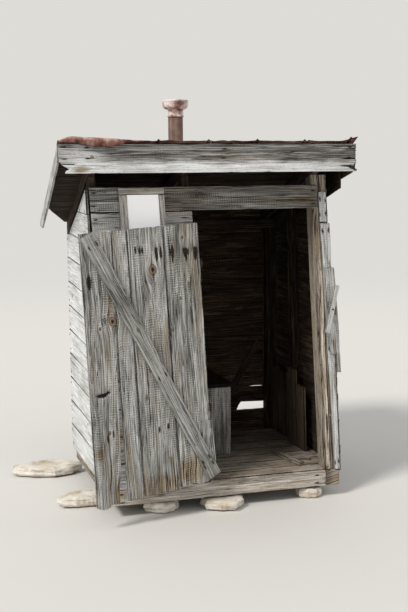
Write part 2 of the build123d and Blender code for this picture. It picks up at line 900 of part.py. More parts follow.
nodes = {
    "front_footing_stones": [
        stone(doorway_left - stone_span / 2, 75, small_stone * 1.3, small_stone, -10, 0.82),
        stone(doorway_left + sill_width, 40, small_stone * 1.7, small_stone * 1.7, 8, 0.8),
        stone(width - small_stone, 70, small_stone, small_stone, 5, 0.82),
    ],
    "left_footing_stone": [stone(-sill_width, 380, long_stone, long_stone * 0.6, 12, 0.78)],
    "back_left_footing_stone": [
        stone(-long_stone / 2, depth - 75, long_stone * 1.3, long_stone * 0.77, -6, 0.8)
    ],
    "back_right_footing_stone": [
        stone(width - sill_width * 0.7, depth - 105, small_stone * 1.4, small_stone * 1.2, 15, 0.82)
    ],
    "side_sills": [
        block(0, sill_width, board, back_face, sill_bottom, sill_top),
        block(width - sill_width, width, 0, back_face, sill_bottom, sill_top),
    ],
    "floor_joists": floor_joists(),
    "front_rim_board": [block(0, width - sill_width, 0, board, sill_bottom, sill_top)],
    "floor_boards": floor_boards(),
    "front_left_post": [post(0, stud_width, board, board + stud_depth, sill_top)],
    "front_right_post": [
        post(doorway_right, doorway_right + jamb_post_width, board, board + stud_depth, sill_top),
        post(doorway_right + jamb_post_width + board_gap, width, board, board + stud_depth, sill_top),
    ],
    "door_jamb_post": [post(jamb_left, jamb_left + stud_width, board, board + stud_depth, 0)],
    "back_left_post": [back_post(0)],
    "back_right_post": [back_post(width - back_post_width)],
    "left_wall_stud": [post(0, side_stud_depth, left_stud_at, left_stud_at + stud_width, 0)],
    "right_wall_stud": [
        post(width - side_stud_depth, width, side_stud_at, side_stud_at + stud_width, 0)
    ],
    "front_header_board": [
        front_piece(oblong(0, header_length, header_bottom, header_bottom + header_height), 0, board)
    ],
    "front_wall_boards": front_wall(),
    "left_wall_boards": side_wall(0.0, -1, left_stud_at, 0.0, 0.0),
    "right_wall_boards": side_wall(width, 1, side_stud_at, right_row_start, short_row_start),
    "back_wall_boards": back_wall(),
    "eave_boards": eave_boards(),
    "right_corner_boards": corner_boards(),
    "latch_board": [latch_board()],
    "back_wall_brace": [back_brace()],
    "right_wall_lining": right_wall_lining(),
    "back_plate": [back_plate()],
    "rafters": [rafter(x) for x in rafter_places()],
    "roof_boards": roof_boards(),
    "roof_tin": roof_tin(),
    "front_fascia": [fascia()],
    "left_barge_board": [left_barge_board()],
    "right_barge_board": [right_barge_board()],
    "vent_pipe": [vent_pipe()],
    "vent_cap": [vent_cap()],
    "seat_front": [seat_front()],
    "seat_end": [seat_end()],
    "seat_top": [seat_top()],
    "panel_casing": panel_casing(),
    "blank_panel": [
        front_piece(oblong(panel_left + 0.5, panel_right - 0.5, panel_bottom, panel_top + 10),
                    -panel_thickness - 4, -4)
    ],
    "hinge_pintles": [door_place(0) * p for p in hinge_pintles()],
    "button_block": [button_block()],
    "button_nail": [button_nail()],
    "turn_button": [turn_button()],
    "door_planks": [door_place(-door_open) * p for p in door_planks()],
    "door_brace": [door_place(-door_open) * door_brace()],
    "door_straps": [door_place(-door_open) * s for s in door_straps()],
}

os.makedirs("parts", exist_ok=True)
everything = Compound(children=[Compound(children=solids) for solids in nodes.values()])
box = everything.bounding_box()
shift = Vector(-box.center().X, -box.center().Y, -box.min.Z)
for name, solids in nodes.items():
    pieces = [solid.moved(Location(shift)) for solid in solids]
    export_step(Compound(children=pieces), f"parts/{name}.step")

hinge = Vector(pin_x, -pin_forward, 0) + shift
button = Vector(button_x - front_lean * button_z, -pin_forward, button_z) + shift
print("size", [round(v, 1) for v in (box.size.X, box.size.Y, box.size.Z)])
print("shift", [round(v, 3) for v in shift])
print("hinge", [round(v, 3) for v in hinge], "lean", round(lean_angle, 4))
print("button", [round(v, 3) for v in button])
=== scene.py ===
import json
import math
from functools import partial
import bpy
import numpy as np
from mathutils import Matrix, Vector


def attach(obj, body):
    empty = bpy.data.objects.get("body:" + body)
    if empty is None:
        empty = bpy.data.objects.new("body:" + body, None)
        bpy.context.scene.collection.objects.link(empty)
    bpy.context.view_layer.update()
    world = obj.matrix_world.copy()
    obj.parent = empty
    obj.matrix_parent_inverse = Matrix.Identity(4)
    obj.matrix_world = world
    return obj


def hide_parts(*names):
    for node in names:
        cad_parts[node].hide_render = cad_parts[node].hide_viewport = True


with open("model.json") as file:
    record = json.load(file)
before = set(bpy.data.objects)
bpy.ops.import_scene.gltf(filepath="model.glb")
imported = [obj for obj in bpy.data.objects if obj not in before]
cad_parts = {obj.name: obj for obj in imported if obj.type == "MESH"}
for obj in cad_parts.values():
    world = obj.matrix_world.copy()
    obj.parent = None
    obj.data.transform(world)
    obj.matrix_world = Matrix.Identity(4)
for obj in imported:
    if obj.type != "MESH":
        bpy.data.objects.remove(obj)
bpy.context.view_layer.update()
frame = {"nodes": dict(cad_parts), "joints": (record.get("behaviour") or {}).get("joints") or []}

# Old board privy: split grey boards, sun-bleached side wall, rusted tin roof, open plank door.
# Metres, in the frame's own axes: X to the right along the front, Y to the back, Z up.


def unit(vectors):
    # vectors, or one of them, divided by their length
    return vectors / np.linalg.norm(vectors, axis=-1, keepdims=True)


hinge = next(joint for joint in frame["joints"] if joint["name"] == "door_hinge")
pin = np.array(hinge["pos_m"])                           # foot of the hinge line, at floor height
hingeAxis = unit(np.array(hinge["axis"]))
hut = dict(
    corner=pin - [0.642, -0.058, 0.0],                   # walls' left front corner, on the floor
    lean=-hingeAxis[0] / hingeAxis[2],                   # how far the front has racked to the left
    doorOpen=math.radians(169.5),                        # as the CAD model rests
    roofSlope=0.29,      # fall for each metre towards the back
    roofSkew=0.118 / 1.225,      # and how far it runs to the right there
)
corner = hut["corner"]
doorSide = (math.cos(hut["doorOpen"]) * np.array([hingeAxis[2], 0.0, -hingeAxis[0]])
            - [0.0, math.sin(hut["doorOpen"]), 0.0])
toFront, toBack, toLeft, toRight, toSky = (0, -1, 0), (0, 1, 0), (-1, 0, 0), (1, 0, 0), (0, 0, 1)


def frontPoint(x, z):
    # a place on the front boards: x from the left corner at floor height, shifted left by lean x z
    return corner + [x - hut["lean"] * z, 0.0, z]


def floorPoint(x, y):
    # a place on the floor: x and y from the left front corner
    return corner + [x, y, 0.0]


def doorPoint(s, t):
    # a place on the door: s away from the hinge line, t up along it
    return pin + s * doorSide + t * hingeAxis


# Settings that many shader nodes share: a x b, and a x b + c
times, timesPlus = dict(operation="MULTIPLY"), dict(operation="MULTIPLY_ADD")


def linear(colour):
    # sRGB hex to linear light: c / 12.92 near black, else ((c + 0.055) / 1.055) to the power 2.4
    parts = [int(colour[i:i + 2], 16) / 255 for i in (1, 3, 5)]
    return [c / 12.92 if c <= 0.04045 else ((c + 0.055) / 1.055) ** 2.4 for c in parts] + [1.0]


def addNode(tree, kind, inputs=None, out=0, stops=None, **settings):
    # one shader node: settings by name, inputs as values or as the sockets that feed them, and
    # the stops of a colour ramp as places in percent and colours; gives back the chosen output
    made = tree.nodes.new("ShaderNode" + kind)
    for name, value in settings.items():
        setattr(made, name, value)
    for name, value in (inputs or {}).items():
        if isinstance(value, bpy.types.NodeSocket):
            tree.links.new(value, made.inputs[name])
        else:
            made.inputs[name].default_value = value
    if stops:
        ramp = made.color_ramp.elements
        while len(ramp) < len(stops[0]):
            ramp.new(0.5)
        for stop, percent, colour in zip(ramp, stops[0], stops[1].split()):
            stop.position, stop.color = percent / 100, linear(colour)
    return made.outputs[out] if len(made.outputs) else None


def emptyTree(holder):
    # clears the node tree of a new material or world, and gives back what adds nodes to it
    holder.use_nodes = True
    holder.node_tree.nodes.clear()
    return partial(addNode, holder.node_tree)


def weighted(node, total, *terms):
    # total = start + the sum of weight x value over the terms
    for value, weight in terms:
        total = node("Math", {0: value, 1: weight, 2: total}, **timesPlus)
    return total


def addObject(name, data):
    # an object for a mesh, a lamp or a camera, linked to the scene
    made = bpy.data.objects.new(name, data)
    bpy.context.scene.collection.objects.link(made)
    return made


noiseTable = np.random.default_rng(11).random((256, 256)) * 2 - 1


def smoothNoise(x, y, seed=0):
    # random heights on a square lattice, blended smoothly between neighbours, from -1 to 1
    x, y = np.broadcast_arrays(x + 37.7 * seed, y + 19.3 * seed)
    i, j = np.floor(x).astype(int), np.floor(y).astype(int)
    s, t = x - i, y - j
    s, t = s * s * (3 - 2 * s), t * t * (3 - 2 * t)
    a, b = noiseTable[i % 256, j % 256], noiseTable[(i + 1) % 256, j % 256]
    c, d = noiseTable[i % 256, (j + 1) % 256], noiseTable[(i + 1) % 256, (j + 1) % 256]
    return (a * (1 - s) + b * s) * (1 - t) + (c * (1 - s) + d * s) * t


def roughNoise(x, y, seed=0, layers=3):
    # smooth noise, with each layer twice as fine and half as high
    return sum(smoothNoise(x * 2 ** n, y * 2 ** n, seed + 5 * n) / 2 ** n
               for n in range(layers)) / 1.6


painted = ("tone", "wear", "stain", "bleach", "shelter", "rot", "knot")      # values on the points


def paintOf(shape, **values):
    # painted values for a grid of points: zero, but for those given by name
    paint = np.zeros((*shape, len(painted)))
    for key, value in values.items():
        paint[..., painted.index(key)] = value
    return paint


class Surface:
    # gathers points, faces, a UV in metres and painted values until they go into one mesh
    def __init__(self):
        self.points, self.faces, self.uvs, self.paint, self.count = [], [], [], [], 0

    def take(self, points, faces, uv, paint=None):
        # points (n, 3); a list of face arrays (f, 3 or 4); uv (n, 2); paint (n, one column a value)
        for group in faces:
            self.faces.append(group + self.count)
            self.uvs.append(uv[group])
        self.points.append(points)
        self.paint.append(paintOf([len(points)]) if paint is None else paint)
        self.count += len(points)

    def finish(self, name, material, body, slot, replaces=()):
        # faces of any size lie end to end in one list, and each starts at the running sum of sizes
        loops = np.concatenate([f.ravel() for f in self.faces])
        sizes = np.concatenate([np.full(len(f), f.shape[1]) for f in self.faces])
        mesh = bpy.data.meshes.new(name)
        mesh.vertices.add(self.count)
        mesh.vertices.foreach_set("co", np.concatenate(self.points).astype(np.float32).ravel())
        mesh.loops.add(len(loops))
        mesh.loops.foreach_set("vertex_index", loops.astype(np.int32))
        mesh.polygons.add(len(sizes))
        starts = np.concatenate([[0], np.cumsum(sizes)[:-1]])
        mesh.polygons.foreach_set("loop_start", starts.astype(np.int32))
        mesh.polygons.foreach_set("use_smooth", np.ones(len(sizes), bool))
        mesh.update(calc_edges=True)
        uv = np.concatenate([u.reshape(-1, 2) for u in self.uvs])
        mesh.uv_layers.new(name="grain").data.foreach_set("uv", uv.astype(np.float32).ravel())
        values = np.concatenate(self.paint).astype(np.float32)
        for column, key in enumerate(painted):
            mesh.attributes.new(key, "FLOAT", "POINT").data.foreach_set("value", values[:, column])
        mesh.validate()
        mesh.materials.append(material)
        piece = addObject(name, mesh)
        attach(piece, body)
        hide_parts(*replaces)
        print("made", name, (sizes - 2).sum(), "triangles")


def twoSkins(surface, top, under, measures, paint):
    # a closed plate: an upper and a lower grid of the same size, joined by a rim of quads round
    # their borders; measures (m, n, 2) are metres along and across, the UV of both skins
    m, n = top.shape[:2]
    index = np.arange(m * n).reshape(m, n)
    quads = np.stack([index[:-1, :-1], index[1:, :-1], index[1:, 1:], index[:-1, 1:]], -1)
    quads = quads.reshape(-1, 4)
    ring = np.concatenate([index[0, :-1], index[:-1, -1], index[-1, :0:-1], index[:0:-1, 0]])
    following = np.roll(ring, -1)
    rim = np.stack([ring, following, following + m * n, ring + m * n], -1)
    flat = measures.reshape(-1, 2)
    surface.take(
        np.concatenate([top.reshape(-1, 3), under.reshape(-1, 3)]),
        [np.concatenate([quads, quads[:, ::-1] + m * n, rim[:, ::-1]])],
        np.concatenate([flat, flat + [0.0, 0.021]]),     # the lower skin reads another part
        np.concatenate([layer.reshape(-1, len(painted)) for layer in paint]),
    )


def ringQuads(index):
    # quads between neighbouring rows of point numbers, each row a closed ring
    after = np.roll(index, -1, 1)
    return np.stack([index[:-1], after[:-1], after[1:], index[1:]], -1).reshape(-1, 4)


def fan(row, pole, over):
    # triangles from a closed ring of point numbers to one point, over it or under it
    after = np.roll(row, -1)
    return np.stack([*((row, after) if over else (after, row)), np.full(len(row), pole)], -1)


def turned(surface, profile, centre, steps, dent, seed, loop=False):
    # a profile of (radius, height) pairs carried round an upright axis: position = centre + radius
    # (cos, sin) + height, the radius uneven by a smooth noise; an end of radius 0 is closed by a
    # fan, and a loop by itself
    profile = np.array(profile, float)
    poles = [k for k in (0, len(profile) - 1) if profile[k, 0] == 0 and not loop]
    rows = profile[[k for k in range(len(profile)) if k not in poles]]
    turn = np.linspace(0, 2 * np.pi, steps, endpoint=False)[None, :]
    uneven = 1 + dent * roughNoise(np.abs(turn - np.pi) / 0.7, rows[:, 1:] / 0.05, seed)
    radius = rows[:, :1] * uneven
    grid = np.stack([radius * np.cos(turn), radius * np.sin(turn), rows[:, 1:] + 0 * turn], -1)
    grid = grid + centre
    index = np.arange(radius.size).reshape(radius.shape)
    faces = [ringQuads(index)] + ([ringQuads(index[[-1, 0]])] if loop else [])
    faces += [fan(index[-1 if k else 0], radius.size + order, k > 0)
              for order, k in enumerate(poles)]
    ends = [[centre + [0, 0, profile[k, 1]]] for k in poles]
    points = np.concatenate([grid.reshape(-1, 3), *ends])
    paint = paintOf([len(points)], tone=0.5)
    surface.take(points, faces, points[:, :2] - centre[:2], paint)


def bareWood(name, finish, ownGrain=True):
    # Sawn softwood left bare: the soft rings wear back, so the hard ones stand as ridges along it.
    # What it gives the eye: fine streaks, a flame figure, dark checks, saw marks across, knots,
    # nail stains. A piece with its own grain has a UV in metres; a CAD node runs it along X on
    # Object coordinates.
    material = bpy.data.materials.new(name)
    node = emptyTree(material)
    if ownGrain:
        uv = node("UVMap", uv_map="grain")
    else:
        apart = node("SeparateXYZ", {0: node("TexCoord", out="Object")}).node.outputs
        uv = node("CombineXYZ", {0: apart[0], 1: node("Math", {0: apart[1], 1: apart[2]})})

    def streaks(lengthMm, widthMm, detail, place):
        # noise drawn out along the grain, one cell of it lengthMm by widthMm
        drawn = node("VectorMath", {0: place, 1: (1000 / lengthMm, 1000 / widthMm, 1.0)}, **times)
        return node("TexNoise", {"Vector": drawn, "Scale": 1.0, "Detail": detail, "Roughness": 0.6},
                    noise_dimensions="2D")

    def offMiddle(noise):
        # how far the noise is from its middle value: small along thin wandering lines
        away = node("Math", {0: noise, 1: 0.5}, operation="SUBTRACT")
        return node("Math", {0: away}, operation="ABSOLUTE")

    # the grain wanders: a slow noise pushes the across-grain coordinate
    wander = (0, finish["wanderMm"] / 1000, 0)
    bent = node("VectorMath", {0: streaks(600, 150, 1.0, uv), 1: wander, 2: uv}, **timesPlus)
    along, across = node("SeparateXYZ", {0: bent}).node.outputs[:2]
    streak = streaks(420, 5.0, 4.0, bent)
    broad = streaks(700, 26, 2.0, bent)
    fibre = streaks(90, 1.6, 2.0, bent)
    patch = streaks(330, 110, 3.0, uv)
    speckle = streaks(14, 6, 2.0, uv)

    # yearly rings: contour lines of the across-grain distance, swung by a long noise into flames
    counted = node("Math", {0: across, 1: 1000 / finish["ringMm"]}, **times)
    swung = weighted(node, counted, (streaks(1500, 85, 1.0, bent), finish["figure"]))
    ring = node("Math", {0: swung}, operation="FRACT")
    tone, wear, stain, bleach, shelter, rot, knot = (
        node("Attribute", attribute_name=key, out="Fac") for key in painted)

    # the blade of the circular saw left pale lines across, as a zigzag along the board
    toothed = weighted(node, broad, (streaks(60, 220, 2.0, uv), 1.4),
                       (along, 1000 / finish["sawMm"]))
    toothed = node("Math", {0: toothed, 1: 0.5}, operation="PINGPONG")
    # the stain and shade value, broken by the grain: nail stains, dark joints with painted shade of
    # their gaps, and painted shade in dug recesses
    stainedAndShaded = weighted(node, stain, (streak, -0.8), (speckle, -0.9))

    # masks: a smooth step of a pattern from the first value to the second, times the third
    check, checked, hair, saw, sawn, warmPatch, pit, inKnot, stainedAndShaded = (
        node("MapRange", {0: pattern, 1: low, 2: high, 4: most}, interpolation_type="SMOOTHSTEP")
        for pattern, low, high, most in (
            (offMiddle(streaks(900, 19, 2.0, bent)), finish["checkWidth"], 0.0, 1.0),
            (streaks(420, 55, 1.0, uv), 0.48, 0.58, 1.0),                  # checks only in places
            (offMiddle(streaks(380, 8.5, 1.0, bent)), 0.045, 0.0, finish["hairs"]),
            (toothed, 0.26, 0.50, 1.0),
            (streaks(420, 130, 2.0, uv), 0.42, 0.58, finish["saw"]),       # and so the saw's lines
            (streaks(500, 60, 2.0, uv), 0.50, 0.75, finish["warmth"]),
            (speckle, 0.60, 0.74, finish["pits"]),
            (knot, 0.42, 0.54, 1.0),
            (stainedAndShaded, -0.58, -0.20, 0.97),
        ))
    inside = node("Math", {0: wear, 1: -1.4, 2: 1.0}, use_clamp=True, **timesPlus)
    for factor in (sawn, inside):                        # none where it has worn smooth
        saw = node("Math", {0: saw, 1: factor}, **times)
    for factor in (checked, weighted(node, 1.0, (bleach, -0.7))):          # fewer where bleached
        check = node("Math", {0: check, 1: factor}, **times)

    level = weighted(node, finish["bias"], (streak, 1.5), (broad, 0.45), (patch, 0.45),
                     (ring, -finish["ringTone"]), (fibre, 0.65), (tone, 0.5), (wear, 0.14),
                     (saw, 0.34), (hair, -0.36))
    base = node("ValToRGB", {0: level}, stops=finish["open"])
    # over the open colour: bleach, warm patches, the sheltered ramp (brown wood kept from the rain,
    # darkened as painted shade inside the hut and under the eaves), rot, knots, pits, the stain and
    # shade value, checks
    for factor, colour in (
        (bleach, node("ValToRGB", {0: level}, stops=finish["bleached"])),
        (warmPatch, linear(finish["warm"])),
        (shelter, node("ValToRGB", {0: level}, stops=finish["shelteredAndShaded"])),
        (rot, node("ValToRGB", {0: level}, stops=finish["rotten"])),
        (inKnot, node("ValToRGB", {0: knot}, stops=finish["knots"])),
        (pit, linear(finish["deep"])),
        (stainedAndShaded, linear(finish["deep"])),
        (check, linear(finish["crack"])),
    ):
        base = node("Mix", {0: factor, 6: base, 7: colour}, out=2, data_type="RGBA")
    height = weighted(node, 0.0, (streak, 1.0), (ring, -0.30), (fibre, 0.35), (saw, 0.25),
                      (check, -1.3), (hair, -0.6), (pit, -0.5), (inKnot, 0.25))
    bump = node("Bump", {"Height": height, "Strength": 0.9, "Distance": finish["reliefMm"] / 1000})
    shader = node("BsdfPrincipled", {"Base Color": base, "Roughness": finish["roughness"],
                                     "Specular IOR Level": 0.2, "Normal": bump})
    node("OutputMaterial", {"Surface": shader})
    return material


silverPine = dict(        # the front, the door and the walls, grey from rain and sun
    open=((5, 28, 50, 72, 98), "#393734 #706f6b #9f9e9a #c3c2be #e2e2df"),
    bleached=((5, 28, 50, 72, 98), "#848480 #c1c2c0 #e1e3e3 #eff1f2 #fafbfc"),
    # the sheltered ramp: brown of wood kept from the rain, made near black as painted shade inside
    # the hut
    shelteredAndShaded=((5, 30, 52, 75, 98), "#0f0b08 #251b13 #3b2e22 #574838 #80705c"),
    rotten=((5, 28, 50, 75, 98), "#261b12 #544534 #86755c #a89879 #c4b596"),
    knots=((46, 58, 68, 80, 93), "#33271d #7a6855 #93826e #4f3f31 #1d150f"),
    warm="#8c7b60", warmth=0.52, deep="#1d1813", crack="#14100c", pits=0.45, bias=-1.135,
    wanderMm=22, figure=14.0, ringMm=9.0, ringTone=0.30, checkWidth=0.020, hairs=1.0, sawMm=14.0,
    saw=0.9, reliefMm=2.6, roughness=0.9)
smoothPine = dict(        # planed boards in full sun: the fascia, the side wall, the barge boards
    silverPine, saw=0.25, hairs=0.55, ringTone=0.22, warmth=0.30, reliefMm=2.0)
bluePine = dict(          # the planed brace, a cooler grey
    silverPine, warmth=0.15, saw=0.2, figure=6.0, ringMm=6.0,
    open=((5, 28, 50, 72, 98), "#3b3b38 #787873 #9d9d99 #babab6 #d8d8d4"))
rawPine = dict(           # the jamb, the casing and the floor, sheltered and rubbed
    silverPine, warm="#8d7757", warmth=0.5, saw=0.3,
    open=((5, 28, 50, 72, 98), "#41382e #7c7264 #a69a8b #c5baab #e0d8cb"))
darkPine = dict(          # inside, out of the rain: brown with age, and darkened as painted shade for the inside of the hut and under the roof
    silverPine, warm="#2d1f10", warmth=0.5, deep="#060403", crack="#040302", saw=0.4, bias=-0.97,
    roughness=0.85,
    open=((5, 30, 52, 75, 98), "#080604 #150f0a #241b13 #3a2e23 #5d4f40"))


def plainFinish(name, finish):
    # Metal, enamel and stone on Object coordinates: level = bias + weight x noise for each layer
    # + 0.7 x the painted tone; it picks the colour and lifts the relief, and the deep colour lies
    # over it by the painted stain and shade value, or in patches by a smooth step of a noise
    material = bpy.data.materials.new(name)
    node = emptyTree(material)
    place = node("TexCoord", out="Object")
    tone, patch = (node("Attribute", attribute_name=key, out="Fac") for key in ("tone", "stain"))
    noises = []
    for cellMm, detail, roughness, weight in finish["layers"]:
        drawn = node("VectorMath", {0: place, 1: [1000 / mm for mm in cellMm]}, **times)
        noises.append((node("TexNoise", {"Vector": drawn, "Scale": 1.0, "Detail": detail,
                                         "Roughness": roughness}), weight))
    if finish["patches"]:
        cellMm, low, high, most = finish["patches"]
        patch = node("TexNoise", {"Vector": place, "Scale": 1000 / cellMm, "Detail": 3.0})
        patch = node("MapRange", {0: patch, 1: low, 2: high, 4: most},
                     interpolation_type="SMOOTHSTEP")
    level = weighted(node, finish["bias"], *noises, (tone, 0.7))
    base = node("ValToRGB", {0: level}, stops=finish["colours"])
    base = node("Mix", {0: patch, 6: base, 7: linear(finish["deep"])}, out=2, data_type="RGBA")
    bump = node("Bump", {"Height": level, "Strength": finish["relief"],
                         "Distance": finish["reliefMm"] / 1000})
    shader = node("BsdfPrincipled", {"Base Color": base, "Normal": bump, **finish["shader"]})
    node("OutputMaterial", {"Surface": shader})
    return material


def rusted(runMm, cloudMm, grainMm, roughness, metallic, **rest):
    # Sheet or iron whose zinc has worn through: what it gives the eye is matt rust, darker runs
    # down the fall and scraps of pale zinc. Its layers are runs, clouds and grain.
    return dict(dict(
        layers=((runMm, 4.0, 0.6, 1.1), ([cloudMm] * 3, 3.0, 0.5, 0.8),
                ([grainMm] * 3, 3.0, 0.7, 0.5)),   # cell in mm, detail, roughness, weight
        bias=-1.05, patches=(), relief=0.6,
        shader={"Roughness": roughness, "Metallic": metallic, "Specular IOR Level": 0.3}), **rest)


roofRust = rusted(
    (110, 900, 400), 240, 14, 0.8, 0.0, reliefMm=1.0, deep="#2a1d19",
    colours=((26, 40, 52, 66, 88), "#3d2a25 #724a41 #94695e #b39186 #d3c6bd"))
pipeRust = rusted(
    (40, 40, 420), 90, 7, 0.75, 0.0, reliefMm=0.8, deep="#1c1411",
    colours=((10, 35, 55, 75, 95), "#372923 #62504a #806b60 #988376 #b09c90"))
capZinc = rusted(
    (60, 60, 40), 70, 8, 0.6, 0.1, reliefMm=0.7, deep="#34231d",
    colours=((28, 42, 52, 64, 90), "#6e5046 #a98b80 #d0c1ba #e6dfda #f4f1ee"))
ironRust = rusted(
    (30, 30, 30), 40, 4, 0.75, 0.1, reliefMm=0.5, deep="#120c0a", bias=-0.75,
    colours=((15, 40, 65, 90), "#1d1411 #38261f #553a2c #6f5242"))
glowingEnamel = dict(            # a baked coat: a plain, slightly glossy, chalked white; its emission is a painted glow that keeps it bright in the shade, though it is no lamp
    layers=(([55.5556] * 3, 4.0, 0.5, 1.0),), bias=0.0, patches=(), deep="#ffffff",
    colours=((20, 80), "#f8f8f7 #fdfdfd"), relief=0.2, reliefMm=1.0,
    shader={"Roughness": 0.35, "Emission Color": linear("#ffffff"), "Emission Strength": 0.25})
gneiss = dict(            # rough field stone: pale grit in layers, brown iron stain, darker hollows
    layers=(((111.1111, 111.1111, 22.22222), 5.0, 0.62, 1.5), ([8.333333] * 3, 3.0, 0.7, 0.5)),
    bias=-0.48, patches=(200, 0.48, 0.66, 0.55), deep="#c6b69c", relief=0.8, reliefMm=6.0,
    colours=((10, 30, 50, 75, 95), "#6c6358 #b5aca0 #dcd5ca #efebe3 #f8f5f0"),
    shader={"Roughness": 0.92, "Specular IOR Level": 0.2})

materials = dict(
    silver=bareWood("silverGreyPine", silverPine),
    smooth=bareWood("sunBleachedPine", smoothPine),
    blue=bareWood("blueGreyPine", bluePine),
    raw=bareWood("rubbedTanPine", rawPine),
    dark=bareWood("agedBrownPineInPaintedShade", darkPine),
    seat=bareWood("agedSeatBoardInPaintedShade", darkPine, ownGrain=False),
    tin=plainFinish("rustedRoofSheet", roofRust),
    pipe=plainFinish("rustedSteelPipe", pipeRust),
    cap=plainFinish("wornZincHood", capZinc),
    iron=plainFinish("rustyForgedIron", ironRust),
    panel=plainFinish("whiteEnamelWithPaintedGlow", glowingEnamel),
    stone=plainFinish("paleFieldStone", gneiss),
)
print("materials made:", len(materials))


# Boards: each CAD solid is read as a length, a width and a thickness, and clad in worn wood
def solidsOf(name):
    # the separate solids of a CAD node, as corner points and triangles: every corner takes the
    # lowest number in its triangles until none changes, and what shares a number is one solid
    mesh = frame["nodes"][name].data
    points = np.empty(len(mesh.vertices) * 3, np.float32)
    mesh.vertices.foreach_get("co", points)
    mesh.calc_loop_triangles()
    corners = np.empty(len(mesh.loop_triangles) * 3, np.int32)
    mesh.loop_triangles.foreach_get("vertices", corners)
    rounded = np.round(points.reshape(-1, 3).astype(float), 5)
    distinct, which = np.unique(rounded, axis=0, return_inverse=True)
    triangles = which.reshape(-1)[corners].reshape(-1, 3)
    label, before = np.arange(len(distinct)), None
    while before is None or (label != before).any():
        before = label.copy()
        np.minimum.at(label, triangles, label[triangles].min(1)[:, None])
    solids = []
    for value in np.unique(label):
        own = label == value
        solids.append((distinct[own], (np.cumsum(own) - 1)[triangles[own[triangles[:, 0]]]]))
    return solids


def edgesOf(triangles):
    # the three edges of every triangle, as pairs of point numbers
    return np.concatenate([triangles[:, pair] for pair in ([0, 1], [1, 2], [2, 0])])


def readBoard(points, triangles, outward, axes=None):
    # axes of a board: through is the normal with most area, along is the longest edge round that
    # side, and across is at right angles to both; axes, where given, are along and through
    front = None
    if axes:
        along, through = (np.array(axis, float) for axis in axes)
        through = unit(through)
    else:
        sides = points[triangles]
        normals = np.cross(sides[:, 1] - sides[:, 0], sides[:, 2] - sides[:, 0])
        areas = np.linalg.norm(normals, axis=1)
        normals = normals / np.maximum(areas, 1e-12)[:, None]
        turn = np.where(np.abs(normals).argmax(1)[:, None] == np.arange(3), normals, 0).sum(1)
        sided = normals * np.sign(turn)[:, None]         # both faces of a board count together
        group = np.unique(np.round(sided, 2), axis=0, return_inverse=True)[1].reshape(-1)
        largest = group == np.bincount(group, areas).argmax()
        through = unit(sided[largest & (areas > 1e-7)].mean(0))
        through *= -1 if through @ outward < 0 else 1
        depth = points @ through
        front = depth > (depth.max() + depth.min()) / 2
        edges = np.sort(edgesOf(triangles[normals @ through > 0.95]), 1)
        edges, counts = np.unique(edges, axis=0, return_counts=True)
        ends = points[edges[counts == 1]]                # those of one triangle only: the outline
        spans = ends[:, 1] - ends[:, 0]
        along = spans[np.linalg.norm(spans, axis=1).argmax()]
    along = unit(along - through * (along @ through))
    along *= np.sign(along[np.abs(along).argmax()])
    across = np.cross(through, along)
    if across[2] < -0.5:
        along, across = -along, -across
    return dict(points=points, triangles=triangles, front=front, through=through, along=along,
                across=across)


def crossings(sample, x, y):
    # lowest and highest y where edges with ends x and y, both (e, 2), cross each x of the sample
    s = sample[:, None]
    inside = (x[:, 0] - s) * (x[:, 1] - s) <= 0
    with np.errstate(divide="ignore", invalid="ignore"):
        share = np.clip((s - x[:, 0]) / (x[:, 1] - x[:, 0]), 0, 1)
    hit = np.where(inside & np.isfinite(share), y[:, 0] + share * (y[:, 1] - y[:, 0]), np.nan)
    return np.nanmin(hit, 1), np.nanmax(hit, 1)


def boardShape(board):
    # the board as a function of three shares (along, across and through), and its three sizes
    points, along, across, through = (board[k] for k in ("points", "along", "across", "through"))
    if len(points) == 8 and board["front"] is not None:
        corners = np.empty((2, 2, 2, 3))
        for k, chosen in enumerate((~board["front"], board["front"])):
            own = points[chosen]
            away = own - own.mean(0)
            own = own[np.argsort(np.arctan2(away @ across, away @ along))]
            # now low left, low right, high right, high left
            corners[0, 0, k], corners[1, 0, k], corners[1, 1, k], corners[0, 1, k] = own

        def place(a, b, c):
            # each of the eight corners weighs the product of its three shares
            a, b, c = np.broadcast_arrays(a, b, c)
            return sum((fa * fb * fc)[..., None] * corners[i, j, k]
                       for i, fa in enumerate((1 - a, a)) for j, fb in enumerate((1 - b, b))
                       for k, fc in enumerate((1 - c, c)))

        return place, [np.linalg.norm(np.diff(corners, axis=n), axis=-1).mean() for n in range(3)]

    # other outlines: sections give the width at each length, and the length at each width
    u, w, t = points @ along, points @ across, points @ through
    edges = edgesOf(board["triangles"])
    lengths = np.linspace(u.min() + 1e-4, u.max() - 1e-4, 400)
    widths = np.linspace(w.min() + 1e-4, w.max() - 1e-4, 200)
    sideLow, sideHigh = crossings(lengths, u[edges], w[edges])
    faceLow, faceHigh = crossings(lengths, u[edges], t[edges])
    endLow, endHigh = crossings(widths, w[edges], u[edges])
    margin = 0.06 * np.ptp(u)                            # ragged ends reach this far in
    safe = (u.min() + margin, u.max() - margin)

    def between(at, low, high, share):
        # low + share x (high - low), of two curves along the board at one distance
        low, high = np.interp(at, lengths, low), np.interp(at, lengths, high)
        return low + share * (high - low)

    def place(a, b, c):
        # in length between the ends at that width, in width and thickness between the sides there
        a, b, c = np.broadcast_arrays(a, b, c)
        start, stop = (np.interp(between(inner, sideLow, sideHigh, b), widths, limit)
                       for inner, limit in zip(safe, (endLow, endHigh)))
        distance = start + a * (stop - start)
        width = between(np.clip(distance, *safe), sideLow, sideHigh, b)
        depth = between(distance, faceLow, faceHigh, c)
        return distance[..., None] * along + width[..., None] * across + depth[..., None] * through

    return place, (np.ptp(u), np.median(sideHigh - sideLow), np.median(faceHigh - faceLow))


def spread(length, step, edge):
    # distances along a side: the two corners, a row just inside each, and even steps between
    count = max(2, int(round((length - 2 * edge) / step)) + 1)
    return np.concatenate([[0], np.linspace(edge, length - edge, count), [length]])


